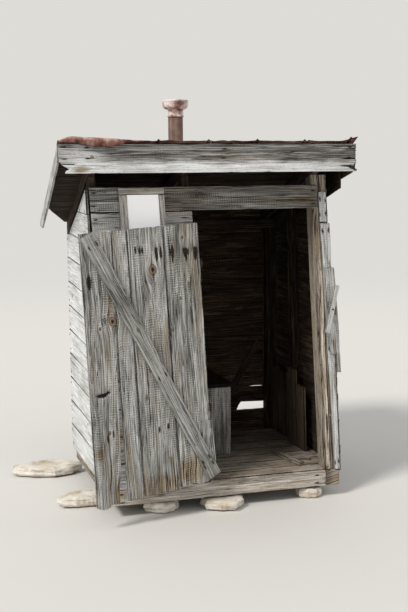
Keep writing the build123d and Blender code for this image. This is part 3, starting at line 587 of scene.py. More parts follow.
wornBoard = dict(         # what a user would change on every clad board
    edge=0.003,           # rounding of the long edges
    chip=0.0035,          # deepest chips out of them
    chipLength=0.06,
    relief=0.0016,        # depth of the weathered grain in the mesh
    ring=0.011,           # and the width of its ridges
    ragged=0.006,         # how uneven the sawn ends have become
    splinter=0.018,       # width of the splinters there
    slim=0.0012,          # shrunk from the sawn size
    swell=-0.0012,        # widened towards its neighbours, so that no daylight shows
    seam=0.0,             # dirt and shade in the joints
    dirt=0.005,           # how far edge dirt, wear and the painted shade of the joints reach in from the long edges
    step=0.030,           # mesh step along the grain
    breadth=0.008,        # and across it
    tones=(0.35, 0.65),   # darkest and lightest board
    bleach=0.0,           # how far the sun has whitened the outer face
    shelter=(0.0, 0.0),   # how far the outer and the inner face are brown and dark: wood kept from the rain, and painted shade inside the hut and under the eaves
    knotty=1.6,           # knots in a square metre
    knotSize=(0.005, 0.012),
    nailsAt=(),           # nail rows, from the start of a board or, if negative, from its end
    nailRows=(0.22, 0.78),
    nailStray=0.006,      # how far a nail is off its place
    nailStain=0.006,      # reach of the black round it
)
nailSpots = dict(hut=[], door=[])


def onBoard(board, place, size, point):
    # metres along and across a board of a place given in the frame
    x = point @ board["along"] - place(0.0, 0.5, 1.0) @ board["along"]
    y = point @ board["across"] - place(x / size[0], 0.0, 1.0) @ board["across"]
    return x, y


def cladBoard(surface, board, place, size, seed, look, rng, body, spots=(), knots=(), nails=()):
    # position = place(along, across, through): the face is lowered by slim + grain + rounding near
    # the edges, the edges are drawn in by chips, and each end by a ragged noise across the board;
    # near a knot the across-grain UV shrinks towards its middle, so that the grain flows round it
    length, width, thick = size
    edge = min(look["edge"], width / 5, thick / 3)
    x = spread(length, look["step"], edge)[:, None]
    y = spread(width, min(look["breadth"], width / 4), edge)[None, :]
    wide, long = y + 0 * x, x + 0 * y
    at = partial(onBoard, board, place, size)
    tone = rng.uniform(*look["tones"])
    ownKnots = [(rng.uniform(0, length), rng.uniform(0, width), rng.uniform(*look["knotSize"]))
                for _ in range(rng.poisson(look["knotty"] * length * width))]
    ownKnots += [(*at(point), radius) for point, radius in knots]
    stray = partial(rng.uniform, -look["nailStray"], look["nailStray"])
    ownNails = [(row % length + stray(), share * width + stray(), look["nailStain"])
                for row in look["nailsAt"] for share in look["nailRows"] if abs(row) < length]
    ownNails += [(*at(point), reach) for point, reach in nails]
    ownNails = [(nx, ny, r) for nx, ny, r in ownNails if 0 < nx < length and 0 < ny < width]
    ownSpots = [(kind, *at(point), *rest) for kind, point, *rest in spots]

    bent, nearKnot = wide.copy(), 0 * wide
    for kx, ky, r in ownKnots:
        if 0 < kx < length and -r < ky < width + r:
            dx, dy = long - kx, wide - ky
            bent = bent - dy * 0.85 * np.exp(-(dx / (3.2 * r)) ** 2 - (dy / (2.2 * r)) ** 2)
            nearKnot = np.maximum(nearKnot, 1 - np.hypot(dx / 1.3, dy) / (2 * r))
    lines = bent / look["ring"] + 0.6 * smoothNoise(x / 0.4, y / 0.05, seed)
    fromSide, fromEnd = np.minimum(wide, width - wide), np.minimum(long, length - long)
    onSide, rounding = fromSide < 1e-9, 0.3 * edge
    chips = roughNoise(x / look["chipLength"], 3.1 + np.round(y / width), seed + 3)
    chips = np.maximum(chips - 0.25, 0) * look["chip"] / 0.6
    inX, outX = (
        look["ragged"] * np.abs(roughNoise(y / look["splinter"], row, seed + more, 4)) ** 1.5
        * (1 - away / length) ** 4 + np.where(away < 1e-9, rounding, 0)
        for row, more, away in ((0.5, 7, x), (8.5, 9, length - x)))
    inY = np.where(onSide, rounding + chips, 0) - look["swell"]
    nearSide = np.where(wide < width / 2, 0, width)
    for kind, sx, sy, reachX, reachY, amount in ownSpots:
        if kind == "slit":
            there = np.exp(-((long - sx) / reachX) ** 4) * (np.abs(nearSide - sy) < reachY)
            inY = inY + amount * there * np.exp(-fromSide / 0.03)
    movedX = (long + inX - outX) / length
    movedY = (wide + np.where(wide < width / 2, inY, -inY)) / width
    skins, paints = [], []
    for skin in (0, 1):
        grain = 0.5 + 0.5 * smoothNoise(x / 0.5, lines + 13.7 * skin, seed + 20 + skin)
        drop = look["slim"] + look["relief"] * grain
        drop = drop + np.where(onSide | (fromEnd < 1e-9), 0.35 * edge + chips * 0.6, 0)
        dirt = np.exp(-fromSide / look["dirt"])
        # the joints darken towards the long edges by the seam amount: dirt, and painted shade of
        # the gaps between boards
        layers = dict(
            tone=tone + 0.16 * roughNoise(x / 0.35, y / 0.3, seed + 41),
            wear=dirt * (0.6 + 0.4 * smoothNoise(x / 0.08, y * 0, seed + 31)),
            stain=(1 - skin) * look["seam"] * dirt, bleach=look["bleach"] * (1 - skin),
            shelter=look["shelter"][skin], rot=0.0, knot=nearKnot)
        if skin == 0:
            for nx, ny, reach in ownNails:
                spot = np.exp(-np.hypot((long - nx) / (reach * 3.5), (wide - ny) / reach) ** 2)
                layers["stain"] = np.maximum(layers["stain"], 0.95 * spot)
            for kind, sx, sy, reachX, reachY, amount in ownSpots:
                distance = np.hypot((long - sx) / reachX, (wide - sy) / reachY)
                uneven = 0.03 if kind == "slot" else 0.25
                uneven = 1 + uneven * roughNoise(x / 0.05, y / 0.012, seed + 51)
                spot = np.exp(-(distance * uneven) ** 4)
                # a dig or slot is sunk into the face and painted fully dark: painted shade in the
                # recess
                if kind in ("dig", "slot"):
                    drop = drop + amount * spot
                    layers["stain"] = np.maximum(layers["stain"], spot)
                elif kind == "tone":
                    layers["tone"] = layers["tone"] + amount * spot
                elif kind == "clean":
                    layers["stain"] = layers["stain"] * (1 - amount * spot)
                elif kind != "slit":
                    layers[kind] = np.maximum(layers[kind], amount * spot)
        skins.append(place(movedX, movedY, drop / thick if skin else 1 - drop / thick))
        paints.append(paintOf(wide.shape, **layers))
    for nx, ny, reach in ownNails:
        nailSpots[body].append((place(nx / length, ny / width, 1.0), board["through"]))
    offset = np.array([seed * 2.317 % 40, seed * 3.731 % 60])      # each board has its own grain
    twoSkins(surface, *skins, np.stack([long, bent], -1) + offset, paints)


def nodeSeed(name):
    # the letters' codes, each times its place plus 3, summed up to a number under 97
    return sum(ord(letter) * (i + 3) for i, letter in enumerate(name)) % 97


def cladNode(name, outward, finish, look, slot="weathered_board", body="hut", axes=None, **marks):
    # clads every solid of a node and puts them into one piece; solid n takes the seed + 7 n
    surface, seed = Surface(), nodeSeed(name)
    rng = np.random.default_rng(seed)
    for number, (points, triangles) in enumerate(solidsOf(name)):
        board = readBoard(points, triangles, outward, axes)
        cladBoard(surface, board, *boardShape(board), seed + 7 * number, {**wornBoard, **look}, rng,
                  body, **marks)
    surface.finish(name + ".clad", materials[finish], body, slot, (name,))


def marksAt(pointOf, spots=(), knots=(), nails=()):
    # marks measured on a piece, each carried into the frame as pointOf(x, y); a spot is its kind,
    # x, y, reach along, reach across and amount, and a knot or nail is x, y and radius
    return dict(spots=[(kind, pointOf(x, y), *rest) for kind, x, y, *rest in spots],
                knots=[(pointOf(x, y), radius) for x, y, radius in knots],
                nails=[(pointOf(x, y), reach) for x, y, reach in nails])


# The front
frontLook = dict(step=0.013, breadth=0.0055, shelter=(0.0, 1.0))         # brown and dark on the inside: aged wood and painted shade
closeLook = dict(step=0.012, breadth=0.005)              # small boards take a finer mesh
cladNode("front_wall_boards", toFront, "silver",
         dict(frontLook, tones=(0.55, 0.7), bleach=0.25, nailsAt=(0.024, -0.05)),
         **marksAt(frontPoint, (("bleach", 0.095, 1.566, 0.055, 0.016, 0.9),)))
# the header's rot spot is an ochre stain; its shelter spot darkens the top of its middle: painted
# shade under the roof's overhang
cladNode("front_header_board", toFront, "silver",
         dict(frontLook, tones=(0.48, 0.48), nailsAt=(0.022, -0.03)),
         **marksAt(frontPoint, (("rot", 1.37, 1.745, 0.10, 0.020, 0.85),
                                ("shelter", 0.98, 1.76, 0.72, 0.3, 0.5))))
fascia = dict(            # grey above, bleached nearly white below, split and torn at both ends
    corner=(-0.3232, -0.22, 2.0833),                     # its upper left one
    look=dict(step=0.011, breadth=0.0045, ragged=0.010, tones=(0.05, 0.05), shelter=(0.0, 1.0),
              knotty=0.4, nailsAt=(0.03, 0.17, 0.99, -0.04), nailRows=(0.52, 0.86)),
    knots=((0.20, 0.076, 0.009), (1.02, 0.050, 0.008)),
    spots=(("bleach", 0.95, 0.150, 1.6, 0.046, 1.0), ("bleach", 0.13, 0.08, 0.16, 0.07, 0.7),
           ("tone", 0.95, 0.150, 1.6, 0.046, 0.45), ("tone", 0.13, 0.08, 0.16, 0.07, 0.3),
           ("rot", 0.09, 0.150, 0.05, 0.018, 0.9), ("dig", 1.83, 0.034, 0.06, 0.004, 0.012),
           ("dig", 1.82, 0.092, 0.07, 0.0045, 0.012), ("dig", 1.80, 0.137, 0.05, 0.0045, 0.012),
           ("dig", 0.04, 0.117, 0.05, 0.004, 0.010), ("stain", 1.84, 0.15, 0.03, 0.02, 0.8)),
)


def fasciaPoint(x, down):
    # a place on the fascia: x from its left end, down from its upper edge
    return corner + fascia["corner"] + [x, 0.0, -down]


cladNode("front_fascia", toFront, "smooth", fascia["look"], "bleached_board",
         **marksAt(fasciaPoint, fascia["spots"], fascia["knots"]))
cladNode("panel_casing", toFront, "raw", dict(closeLook, tones=(0.7, 0.8), bleach=0.45))
cladNode("right_corner_boards", toFront, "silver",
         dict(closeLook, tones=(0.62, 0.70), bleach=0.38, shelter=(0.0, 1.0),
              nailsAt=(0.05, 0.8, -0.05)))
cladNode("latch_board", toFront, "silver",
         dict(step=0.010, breadth=0.005, tones=(0.5, 0.6), bleach=0.2, ragged=0.02))
cladNode("button_block", toFront, "raw", dict(step=0.010, breadth=0.005))
cladNode("turn_button", toFront, "silver",
         dict(step=0.008, breadth=0.004, tones=(0.5, 0.5), bleach=0.45, knotty=0.0), body="button")
cladNode("front_rim_board", toFront, "raw",
         dict(frontLook, tones=(1.02, 1.04), bleach=0.18, nailsAt=(0.06, -0.06)),
         **marksAt(frontPoint, (("tone", 0.25, -0.07, 0.50, 0.2, -0.18),)))

# The side and back walls
wallLook = dict(          # weathered outside, brown and dark inside (aged wood and painted shade), the seams nearly closed
    step=0.018, breadth=0.0075, shelter=(0.0, 1.0), swell=0.0034, seam=1.0, chip=0.0018, edge=0.004,
    nailsAt=(0.035, -0.035))
backSlit = dict(at=(1.375, 1.225, 0.313), reach=(0.055, 0.05), gap=0.0064)
cladNode("left_wall_boards", toLeft, "smooth",
         dict(wallLook, step=0.014, breadth=0.0065, bleach=0.90, tones=(0.40, 0.66)))
cladNode("right_wall_boards", toRight, "silver", dict(wallLook, bleach=0.25, ragged=0.016))
cladNode("back_wall_boards", toBack, "silver", wallLook,
         spots=[("slit", corner + backSlit["at"], *backSlit["reach"], backSlit["gap"])])
cladNode("eave_boards", toBack, "silver", dict(wallLook, swell=0.0))


def plainBoard(name, start, stop, up, thick, finish, slot, look, seed):
    # a board of its own: position = start + a (stop - start) + b up + c thick through, with through
    # at right angles to both; start and stop are measured from the walls' left front corner
    start, stop, up = corner + start, corner + stop, np.array(up, float)
    along = unit(stop - start)
    across = unit(up - along * (up @ along))
    board = dict(along=along, across=across, through=np.cross(along, across))

    def place(a, b, c):
        # the same sum for whole arrays of shares
        a, b, c = (share[..., None] for share in np.broadcast_arrays(a, b, c))
        return start + a * (stop - start) + b * up + c * thick * board["through"]

    surface = Surface()
    cladBoard(surface, board, place, (np.linalg.norm(stop - start), up @ across, thick), seed,
              {**wornBoard, **look}, np.random.default_rng(seed), "hut")
    surface.finish(name, materials[finish], "hut", slot)


# Frame, floor and seat
eaveFillers = dict(       # start, stop, height, thickness, tone and seed
    right=((1.503, 0.004, 1.806), (1.503, 1.215, 1.45365), 0.193, 0.014, 0.40, 23),
    rear=((1.512, 1.207, 1.452), (0.008, 1.207, 1.452), 0.180, 0.014, 0.35, 29),
)
for side, (start, stop, height, thick, tone, seed) in eaveFillers.items():
    plainBoard(side + "_eave_filler", start, stop, (0, 0, height), thick, "dark", "roof_timber",
               dict(step=0.03, breadth=0.01, tones=(tone, tone), slim=0.0005), seed)
timberLook = dict(step=0.04, breadth=0.012)
for timber in ("front_left_post", "door_jamb_post", "back_left_post", "back_right_post",
               "left_wall_stud", "right_wall_stud", "back_plate", "floor_joists",
               "back_wall_brace"):
    cladNode(timber, toFront, "dark", timberLook, "inner_wood")
cladNode("right_wall_lining", toLeft, "dark",
         dict(step=0.02, breadth=0.008, tones=(0.8, 1.3), ragged=0.02), "inner_wood")
for name, facing, tone in (("seat_front", toFront, 0.6), ("seat_end", toRight, 0.5)):
    cladNode(name, facing, "silver", dict(step=0.012, breadth=0.006, shelter=(0.35, 1.0),
                                          tones=(tone, tone)), "inner_wood", axes=(toSky, facing))
cladNode("front_right_post", toFront, "raw", dict(closeLook, tones=(0.5, 0.55)), "inner_wood",
         **marksAt(frontPoint, knots=((1.44, 1.63, 0.014), (1.43, 1.54, 0.010))))
cladNode("side_sills", toSky, "raw", dict(step=0.03, breadth=0.010, tones=(0.4, 0.5)))
# the floor darkens towards the back by its shelter spot: painted shade inside the hut; its front
# edge is cleaned of joint darkening and bleached
cladNode("floor_boards", toSky, "raw",
         dict(step=0.016, breadth=0.007, tones=(0.55, 0.75), shelter=(0.06, 0.0), seam=0.8,
              nailsAt=(0.04, -0.04)),
         **marksAt(floorPoint, (("shelter", 0.8, 1.25, 1.6, 0.75, 0.7),
                                ("clean", 0.76, -0.058, 1.5, 0.03, 1.0),
                                ("bleach", 1.05, -0.058, 0.6, 0.05, 0.35))))

# The roof's timber; the barge boards run with the slope, and the right one with the skew as well
bargeLook = dict(step=0.016, breadth=0.005, bleach=0.30, tones=(0.5, 0.5), ragged=0.02)
fall, skew = -hut["roofSlope"], round(hut["roofSkew"], 4)
cladNode("rafters", toRight, "dark", dict(timberLook, tones=(0.6, 0.8)), "roof_timber")
cladNode("roof_boards", (0, 0, -1), "dark", dict(step=0.03, breadth=0.012, tones=(0.35, 0.75)),
         "roof_timber")
cladNode("left_barge_board", toLeft, "smooth", bargeLook, "bleached_board",
         axes=((0.0, 1.0, fall), toLeft))
cladNode("right_barge_board", toRight, "silver", dict(bargeLook, bleach=0.2, shelter=(0.0, 1.0)),
         axes=((skew, 1.0, fall), (1, -skew, 0)))

# The door: four planks, the narrow one bleached; nails, knots, slot and rotten feet have places
door = dict(
    look=dict(step=0.008, breadth=0.0036, relief=0.0024, ragged=0.016, knotty=1.0,
              tones=(0.46, 0.56), seam=0.66),
    knots=((0.612, 1.091, 0.022), (0.693, 1.061, 0.009), (0.686, 0.420, 0.011),
           (0.333, 1.373, 0.024), (0.393, 0.766, 0.009), (0.431, 0.608, 0.010),
           (0.216, 0.997, 0.008), (0.148, 1.183, 0.009), (0.125, 1.549, 0.009)),
    nails=((0.440, 1.496), (0.414, 1.493), (0.395, 1.492), (0.305, 1.483), (0.272, 1.479),
           (0.213, 1.474), (0.194, 1.472), (0.121, 1.464), (0.094, 1.462), (0.050, 1.457),
           (0.034, 1.456), (0.66, 0.41), (0.70, 0.40), (0.60, 0.39), (0.36, 0.40), (0.30, 0.41)),
    nailStain=0.008,
    spots=(("slot", 0.704, 0.666, 0.0135, 0.050, 0.014),                   # of a missing latch
           ("rot", 0.625, 1.150, 0.11, 0.022, 0.6), ("rot", 0.761, 0.313, 0.045, 0.028, 0.9),
           ("rot", 0.655, 0.04, 0.09, 0.030, 0.95), ("rot", 0.36, 0.05, 0.075, 0.13, 0.8),
           ("rot", 0.16, 0.10, 0.085, 0.10, 0.9), ("dig", 0.695, 0.154, 0.12, 0.0035, 0.012),
           ("tone", 0.73, 0.47, 0.21, 0.085, -0.32), ("tone", 0.745, 0.12, 0.17, 0.05, 0.10),
           ("tone", 0.13, 1.15, 0.50, 0.12, -0.16), ("bleach", 0.533, 0.8, 0.85, 0.046, 0.24),
           ("tone", 0.70, 0.95, 0.22, 0.085, -0.05), ("tone", 0.31, 1.22, 0.32, 0.10, 0.16),
           ("stain", 0.735, 1.34, 0.05, 0.018, 0.8), ("stain", 0.665, 1.10, 0.04, 0.03, 0.45),
           ("rot", 0.10, 1.40, 0.16, 0.05, 0.35), ("stain", 0.20, 1.455, 0.06, 0.010, 0.95),
           ("stain", 0.045, 1.44, 0.055, 0.014, 0.95), ("stain", 0.108, 1.45, 0.05, 0.012, 0.9),
           ("stain", 0.30, 1.465, 0.05, 0.010, 0.9), ("stain", 0.272, 1.46, 0.035, 0.008, 0.9),
           ("dig", 0.415, 0.55, 0.25, 0.003, 0.010), ("dig", 0.12, 0.16, 0.10, 0.003, 0.012),
           ("dig", 0.21, 0.12, 0.08, 0.003, 0.012)),
)
cladNode("door_planks", toFront, "silver", door["look"], body="door",
         **marksAt(doorPoint, door["spots"], door["knots"],
                   [(s, t, door["nailStain"]) for s, t in door["nails"]]))
cladNode("door_brace", toFront, "blue", dict(step=0.010, breadth=0.004, tones=(0.50, 0.50),
                                             knotty=3.0, nailsAt=(0.09, 0.13, 0.75, -0.07)),
         body="door")

# The tin roof: three crimped sheets, their edges buckled, the left one folded over the fascia
roof = dict(
    front=-0.234, rear=1.554,                            # from the front of the walls
    left=-0.3232, right=1.5178,
    height=2.0953,         # top of the sheets at the front edge, over the floor
    crimps=(0.262, 0.564, 0.866, 1.168, 1.470), crimpWidth=0.0075, crimpHeight=0.0100,
    seams=(0.586, 1.190),  # where one sheet ends and the next begins
    dents=0.0030, curl=0.0050, cornerCurl=0.020, creep=0.004, thickness=0.0011,
    brokenRun=0.410, brokenWidth=0.166,                  # the back left corner is gone
    nailFirst=0.06, nailStep=0.29, nailSide=0.016,       # from the front edge, and beside a crimp
    step=0.014, rows=76, crimpSpan=0.014, crimpSteps=9,  # of the mesh
)
fold = dict(               # the left sheet's front edge: place, rise over it and hang under it
    at=(0.004, 0.070, 0.125, 0.205, 0.292, 0.340, 0.420, 0.520),
    rise=(0.004, 0.026, 0.023, 0.021, 0.016, 0.012, 0.006, 0.0),
    hang=(0.006, 0.012, 0.020, 0.034, 0.034, 0.024, 0.010, 0.001),
    reach=0.150,           # how far back it has lifted
    rows=120, steps=22,
)


def onRoof(x, y, lift):
    # x is measured along the front edge and carried back by the skew; lift stands over the sheet
    back = y - roof["front"]
    return corner + np.stack(np.broadcast_arrays(
        x + hut["roofSkew"] * back, y, roof["height"] - hut["roofSlope"] * back + lift), -1)


def tinSheet(surface, left, right, seed):
    # lift = crimps (narrow bells across) + dents + curls that fade away from the free edges
    crimps = [c for c in roof["crimps"] if left < c < right]
    span = np.linspace(-roof["crimpSpan"], roof["crimpSpan"], roof["crimpSteps"])
    even = np.linspace(0, 1, int((right - left) / roof["step"]))
    across = [(c + span - left) / (right - left) for c in crimps]
    across = np.unique(np.concatenate([even, *across]))
    y = np.linspace(roof["front"], roof["rear"], roof["rows"])[:, None]
    gone = np.maximum(0, (y - roof["rear"] + roof["brokenRun"]) / roof["brokenRun"])
    gone = gone * roof["brokenWidth"] * (left <= roof["left"])
    torn = 0.006 * np.abs(roughNoise(y / 0.05, 2.5, seed)) * np.sign(gone)
    x = np.maximum(left + across[None, :] * (right - left), left + gone + torn + 0.0008 * across)
    bells = sum(np.exp(-((x - c) / roof["crimpWidth"]) ** 2) for c in crimps) * roof["crimpHeight"]
    fromFront, fromRear = y - roof["front"], roof["rear"] - y
    fromSide = np.minimum(x - left, right - x)
    curl = roof["curl"] * (
        np.exp(-fromFront / 0.03) * np.abs(smoothNoise(x / 0.07, 1.5, seed + 2))
        + np.exp(-fromRear / 0.05) * np.abs(smoothNoise(x / 0.10, 4.5, seed + 3))
        + np.exp(-fromSide / 0.02) * np.abs(smoothNoise(y / 0.20, 6.5, seed + 4)))
    fromCorner = np.hypot((x - roof["right"]) / 0.07, fromFront / 0.12)
    curl = curl + roof["cornerCurl"] * np.exp(-fromCorner ** 2)
    lift = bells + roof["dents"] * (0.6 + 0.6 * roughNoise(x / 0.22, y / 0.3, seed + 5)) + curl
    inward = roof["creep"] * np.abs(smoothNoise(x / 0.09, 9.5, seed + 6))
    y = y + inward * np.exp(-fromFront / 0.02) - inward * np.exp(-fromRear / 0.02)
    # the colour darkens towards the front and rear edges and along the sides of each sheet
    paint = paintOf(
        x.shape, tone=(0.5 - 0.25 * np.exp(-fromFront / 0.02) - 0.2 * np.exp(-fromRear / 0.03)
                       + 0.12 * (left < 0)),
        stain=0.5 * np.exp(-fromSide / 0.008) + 0.45 * np.exp(-fromFront / 0.006))
    twoSkins(surface, onRoof(x, y, lift - roof["thickness"]), onRoof(x, y, lift),
             np.stack(np.broadcast_arrays(y, x), -1), [paint, paint])
    for c in crimps:
        for back in np.arange(roof["nailFirst"], roof["rear"] - roof["front"], roof["nailStep"]):
            place = onRoof(c + roof["nailSide"], roof["front"] + back, roof["dents"] + 0.001)
            nailSpots["hut"].append((place, np.array([0.0, hut["roofSlope"], 1.0])))


def foldedLip(surface):
    # along the edge: rise and hang by the table; across: up from the sheet to the crest, then down
    along = np.linspace(fold["at"][0], fold["at"][-1], fold["rows"])[:, None]
    b = np.linspace(0, 1, fold["steps"])[None, :]
    rise = np.interp(along, fold["at"], fold["rise"]) + 0.0015 * smoothNoise(along / 0.03, 2.2, 4)
    hang = np.interp(along, fold["at"], fold["hang"]) + 0.002 * smoothNoise(along / 0.025, 7.2, 5)
    up, down = np.clip(b / 0.5, 0, 1), np.clip((b - 0.5) / 0.5, 0, 1)
    taper = np.clip((fold["at"][-1] - along) / 0.12, 0, 1)
    y = roof["front"] + fold["reach"] * taper * (1 - up) - 0.003 * np.sin(np.pi * down) - 0.002
    lift = (0.003 + rise * up ** 1.6 - (rise + hang) * down
            + 0.0015 * roughNoise(along / 0.05, b * 3, 9))
    x = roof["left"] + along
    # the tone rises at the left end and along the crest, a painted highlight where the fold turns
    # to the light; it darkens towards the hanging edge, and a thin dark line runs on the crest
    paint = paintOf(
        lift.shape, tone=(0.38 + 0.25 * roughNoise(along / 0.035, b * 2, 12)
                          + 0.45 * np.exp(-along / 0.05) + 0.40 * np.exp(-((b - 0.5) / 0.16) ** 2)),
        stain=0.85 * np.exp(-(1 - b) / 0.07) + 0.35 * np.exp(-((b - 0.5) / 0.05) ** 2))
    under = onRoof(x, y + roof["thickness"] * down, lift - roof["thickness"] * up)
    twoSkins(surface, onRoof(x, y, lift), under, np.stack(np.broadcast_arrays(along, b * 0.2), -1),
             [paint, paint])


tin = Surface()
sheetEdges = (roof["left"], *roof["seams"], roof["right"])
for number, (left, right) in enumerate(zip(sheetEdges, sheetEdges[1:])):
    tinSheet(tin, left, right, 60 + 9 * number)
foldedLip(tin)
tin.finish("roof_tin.sheets", materials["tin"], "hut", "rusted_tin", ("roof_tin",))

# The vent: a steel pipe with a dented zinc hood
vent = dict(
    x=0.698, y=0.950, foot=0.496, top=2.342, radius=0.0515, wall=0.0015,
    clear=0.0006,          # off the radius, for the pipe inwards and for its collar outwards
    collar=(               # out from the inner radius, down from the pipe's top: it runs down
                           # inside, round the flared foot and up outside
        (0, -0.001), (0, 0.036), (0.0048, 0.050), (0.0068, 0.049), (0.0040, 0.042),
        (0.0022, 0.034), (0.0020, 0.004), (0.004, 0.0005)),
    hood=(                 # radius, over the pipe's top
        (0.066, 0.001), (0.078, 0.007), (0.0860, 0.018), (0.0885, 0.034), (0.0880, 0.0478),
        (0.0905, 0.0518), (0.0915, 0.0578), (0.0900, 0.0628), (0.084, 0.0634), (0.060, 0.0618),
        (0.030, 0.0608), (0, 0.0608)),
)
ventFoot = floorPoint(vent["x"], vent["y"])
pipe = Surface()
heights = np.linspace(vent["foot"] + 0.001, vent["top"] - 0.001, 70)
outer = vent["radius"] - vent["clear"]
turned(pipe, [(outer, h) for h in heights] + [(outer - vent["wall"], h) for h in heights[::-1]],
       ventFoot, steps=56, dent=0.010, seed=3, loop=True)
pipe.finish("vent_pipe.tube", materials["pipe"], "hut", "rusted_pipe", ("vent_pipe",))

hood = Surface()
inner = vent["radius"] + vent["clear"]
collar = [(inner + out, vent["top"] - down) for out, down in vent["collar"]]
cone = [(radius, vent["top"] + over) for radius, over in vent["hood"]]
turned(hood, [(0, vent["top"] + 0.001), *collar, *cone], ventFoot, steps=64, dent=0.018, seed=8)
hood.finish("vent_cap.hood", materials["cap"], "hut", "galvanised_cap", ("vent_cap",))

# Field stones
stoneLook = dict(around=96, rows=34, squareness=0.40, flatness=0.7, strata=0.050, strataCount=7,
                 lumps=0.050, hollows=0.014)


def fieldSlab(surface, points, seed):
    # radius(angle) is read from the CAD stone; a squared-off dome over and under carries it up,
    # with layered sides (steps of height) and hollows worn into the top
    centre = (points[:, :2].max(0) + points[:, :2].min(0)) / 2
    away, z = points[:, :2] - centre, points[:, 2]
    angle, radius = np.arctan2(away[:, 1], away[:, 0]), np.linalg.norm(away, axis=1)
    ring = (z > z.min() + 0.3 * np.ptp(z)) & (z < z.max() - 0.2 * np.ptp(z))
    order = np.argsort(angle[ring])
    theta = np.linspace(-np.pi, np.pi, stoneLook["around"], endpoint=False)[None, :]
    reach = np.interp(theta, angle[ring][order], radius[ring][order], period=2 * np.pi)
    phi = np.linspace(-np.pi / 2, np.pi / 2, stoneLook["rows"])[1:-1, None]
    height = np.sign(np.sin(phi)) * np.abs(np.sin(phi)) ** stoneLook["flatness"]
    around = np.stack([np.cos(theta), np.sin(theta)])
    steps = np.floor((height + 1) * stoneLook["strataCount"] / 2) * 5.3
    layer = roughNoise(steps + around[0] * 0.8, around[1] * 0.8, seed)
    bump = roughNoise(around[0] * 2.2 + height, around[1] * 2.2 - height, seed + 4)
    share = np.cos(phi) ** stoneLook["squareness"] * (
        0.95 + stoneLook["strata"] * layer + stoneLook["lumps"] * bump * np.abs(np.cos(phi)))
    x, y = (middle + share * reach * way for middle, way in zip(centre, around))
    worn = 0.6 + 0.8 * roughNoise(x / 0.09, y / 0.09, seed + 8)
    worn = stoneLook["hollows"] * worn * np.maximum(height, 0) ** 3
    level = (z.max() + z.min()) / 2 + height * np.ptp(z) / 2 - np.clip(worn, 0, None)
    grid = np.stack(np.broadcast_arrays(x, y, level), -1)
    index = np.arange(x.size).reshape(x.shape)
    ends = [[*centre, level[0].mean()], [*centre, level[-1].mean()]]
    corners = np.concatenate([grid.reshape(-1, 3), ends])
    surface.take(corners, [ringQuads(index), fan(index[0], x.size, False),
                           fan(index[-1], x.size + 1, True)], corners[:, :2])


for number, name in enumerate(("front_footing_stones", "left_footing_stone",
                               "back_left_footing_stone", "back_right_footing_stone")):
    slabs = Surface()
    for order, (points, triangles) in enumerate(solidsOf(name)):
        fieldSlab(slabs, points, 30 + 11 * number + 3 * order)
    slabs.finish(name + ".rock", materials["stone"], "hut", "field_stone", (name,))

# Small things: a loose stick and a scrap of board on the floor, and the nail heads
loose = dict(             # start, stop, width, thickness, bleach and tone
    stick=((1.205, 0.449, 0.0), (1.270, 0.085, 0.0), 0.042, 0.026, 0.0, 0.38),
    scrap=((1.300, 0.245, 0.0), (1.395, 0.195, 0.0), 0.040, 0.014, 0.3, 0.6),
)
for name, (start, stop, width, thick, bleach, tone) in loose.items():
    up = width * np.cross(toSky, unit(np.subtract(stop, start)))
    plainBoard("loose_" + name, start, stop, up, thick, "raw", "weathered_board",
               dict(step=0.008, breadth=0.004, ragged=0.02, slim=0.0002, knotty=0.0,
                    tones=(tone, tone), bleach=bleach, shelter=(0.15, 0.6)), 71)

nailLook = dict(          # a low dome: rings of radius and height as shares of the whole
    radius=0.0042, height=0.0014, sides=9, sunk=0.0012,
    rings=((1.0, -3.5), (1.0, 0.35), (0.72, 0.85)), ends=((0, 0, -3.5), (0, 0, 1.0)))


def nailHeads(body):
    # the dome repeated at every nail: position = centre + x side + y other + (z - sunk) normal,
    # where side and other lie at right angles in the face of the board
    centres, normals = (np.array(values) for values in zip(*nailSpots[body]))
    normals = unit(normals)
    side = unit(np.cross(normals, [0.31, 0.21, 0.93]))   # a direction that no board faces
    other = np.cross(normals, side)
    n = nailLook["sides"]
    turn = np.linspace(0, 2 * np.pi, n, endpoint=False)
    dome = [np.stack([r * np.cos(turn), r * np.sin(turn), h + 0 * turn], -1)
            for r, h in nailLook["rings"]]
    dome = np.concatenate([*dome, nailLook["ends"]])
    x, y, z = (dome * [nailLook["radius"], nailLook["radius"], nailLook["height"]]).T[:, :, None]
    points = (centres[:, None] + x * side[:, None] + y * other[:, None]
              + (z - nailLook["sunk"]) * normals[:, None]).reshape(-1, 3)
    index = np.arange(3 * n).reshape(3, n)
    fans = np.concatenate([fan(index[0], 3 * n, False), fan(index[-1], 3 * n + 1, True)])
    start = (np.arange(len(centres)) * len(dome))[:, None, None]
    heads = Surface()
    heads.take(points, [(ringQuads(index)[None] + start).reshape(-1, 4),
                        (fans[None] + start).reshape(-1, 3)], points[:, :2])
    heads.finish("nail_heads." + body, materials["iron"], body, "rusty_iron")


for body in nailSpots:
    nailHeads(body)

# CAD nodes that are kept take a finish on Object coordinates
for name, finish in (("door_straps", "iron"), ("hinge_pintles", "iron"), ("button_nail", "iron"),
                     ("blank_panel", "panel"), ("seat_top", "seat")):
    kept = frame["nodes"][name].data.materials
    kept.clear()
    kept.append(materials[finish])

# Floor, light and camera
studio = dict(
    floorColour="#dad8d4", backColour="#dedcd7", worldStrength=0.66, sunColour="#fffcf6",
    sunStrength=2.15, sunSoftness=14.0, sunFrom=(-0.62, -0.36, 0.70),
    floorReach=60.0, floorLevel=-0.0008, fadeFrom=5.0, fadeTo=16.0,
)


def seenRays(node):
    # 1 for the rays that show the background: the largest of camera, gloss and transmission
    rays = node("LightPath").node.outputs
    seen = node("Math", {0: rays["Is Camera Ray"], 1: rays["Is Glossy Ray"]}, operation="MAXIMUM")
    return node("Math", {0: seen, 1: rays["Is Transmission Ray"]}, operation="MAXIMUM")


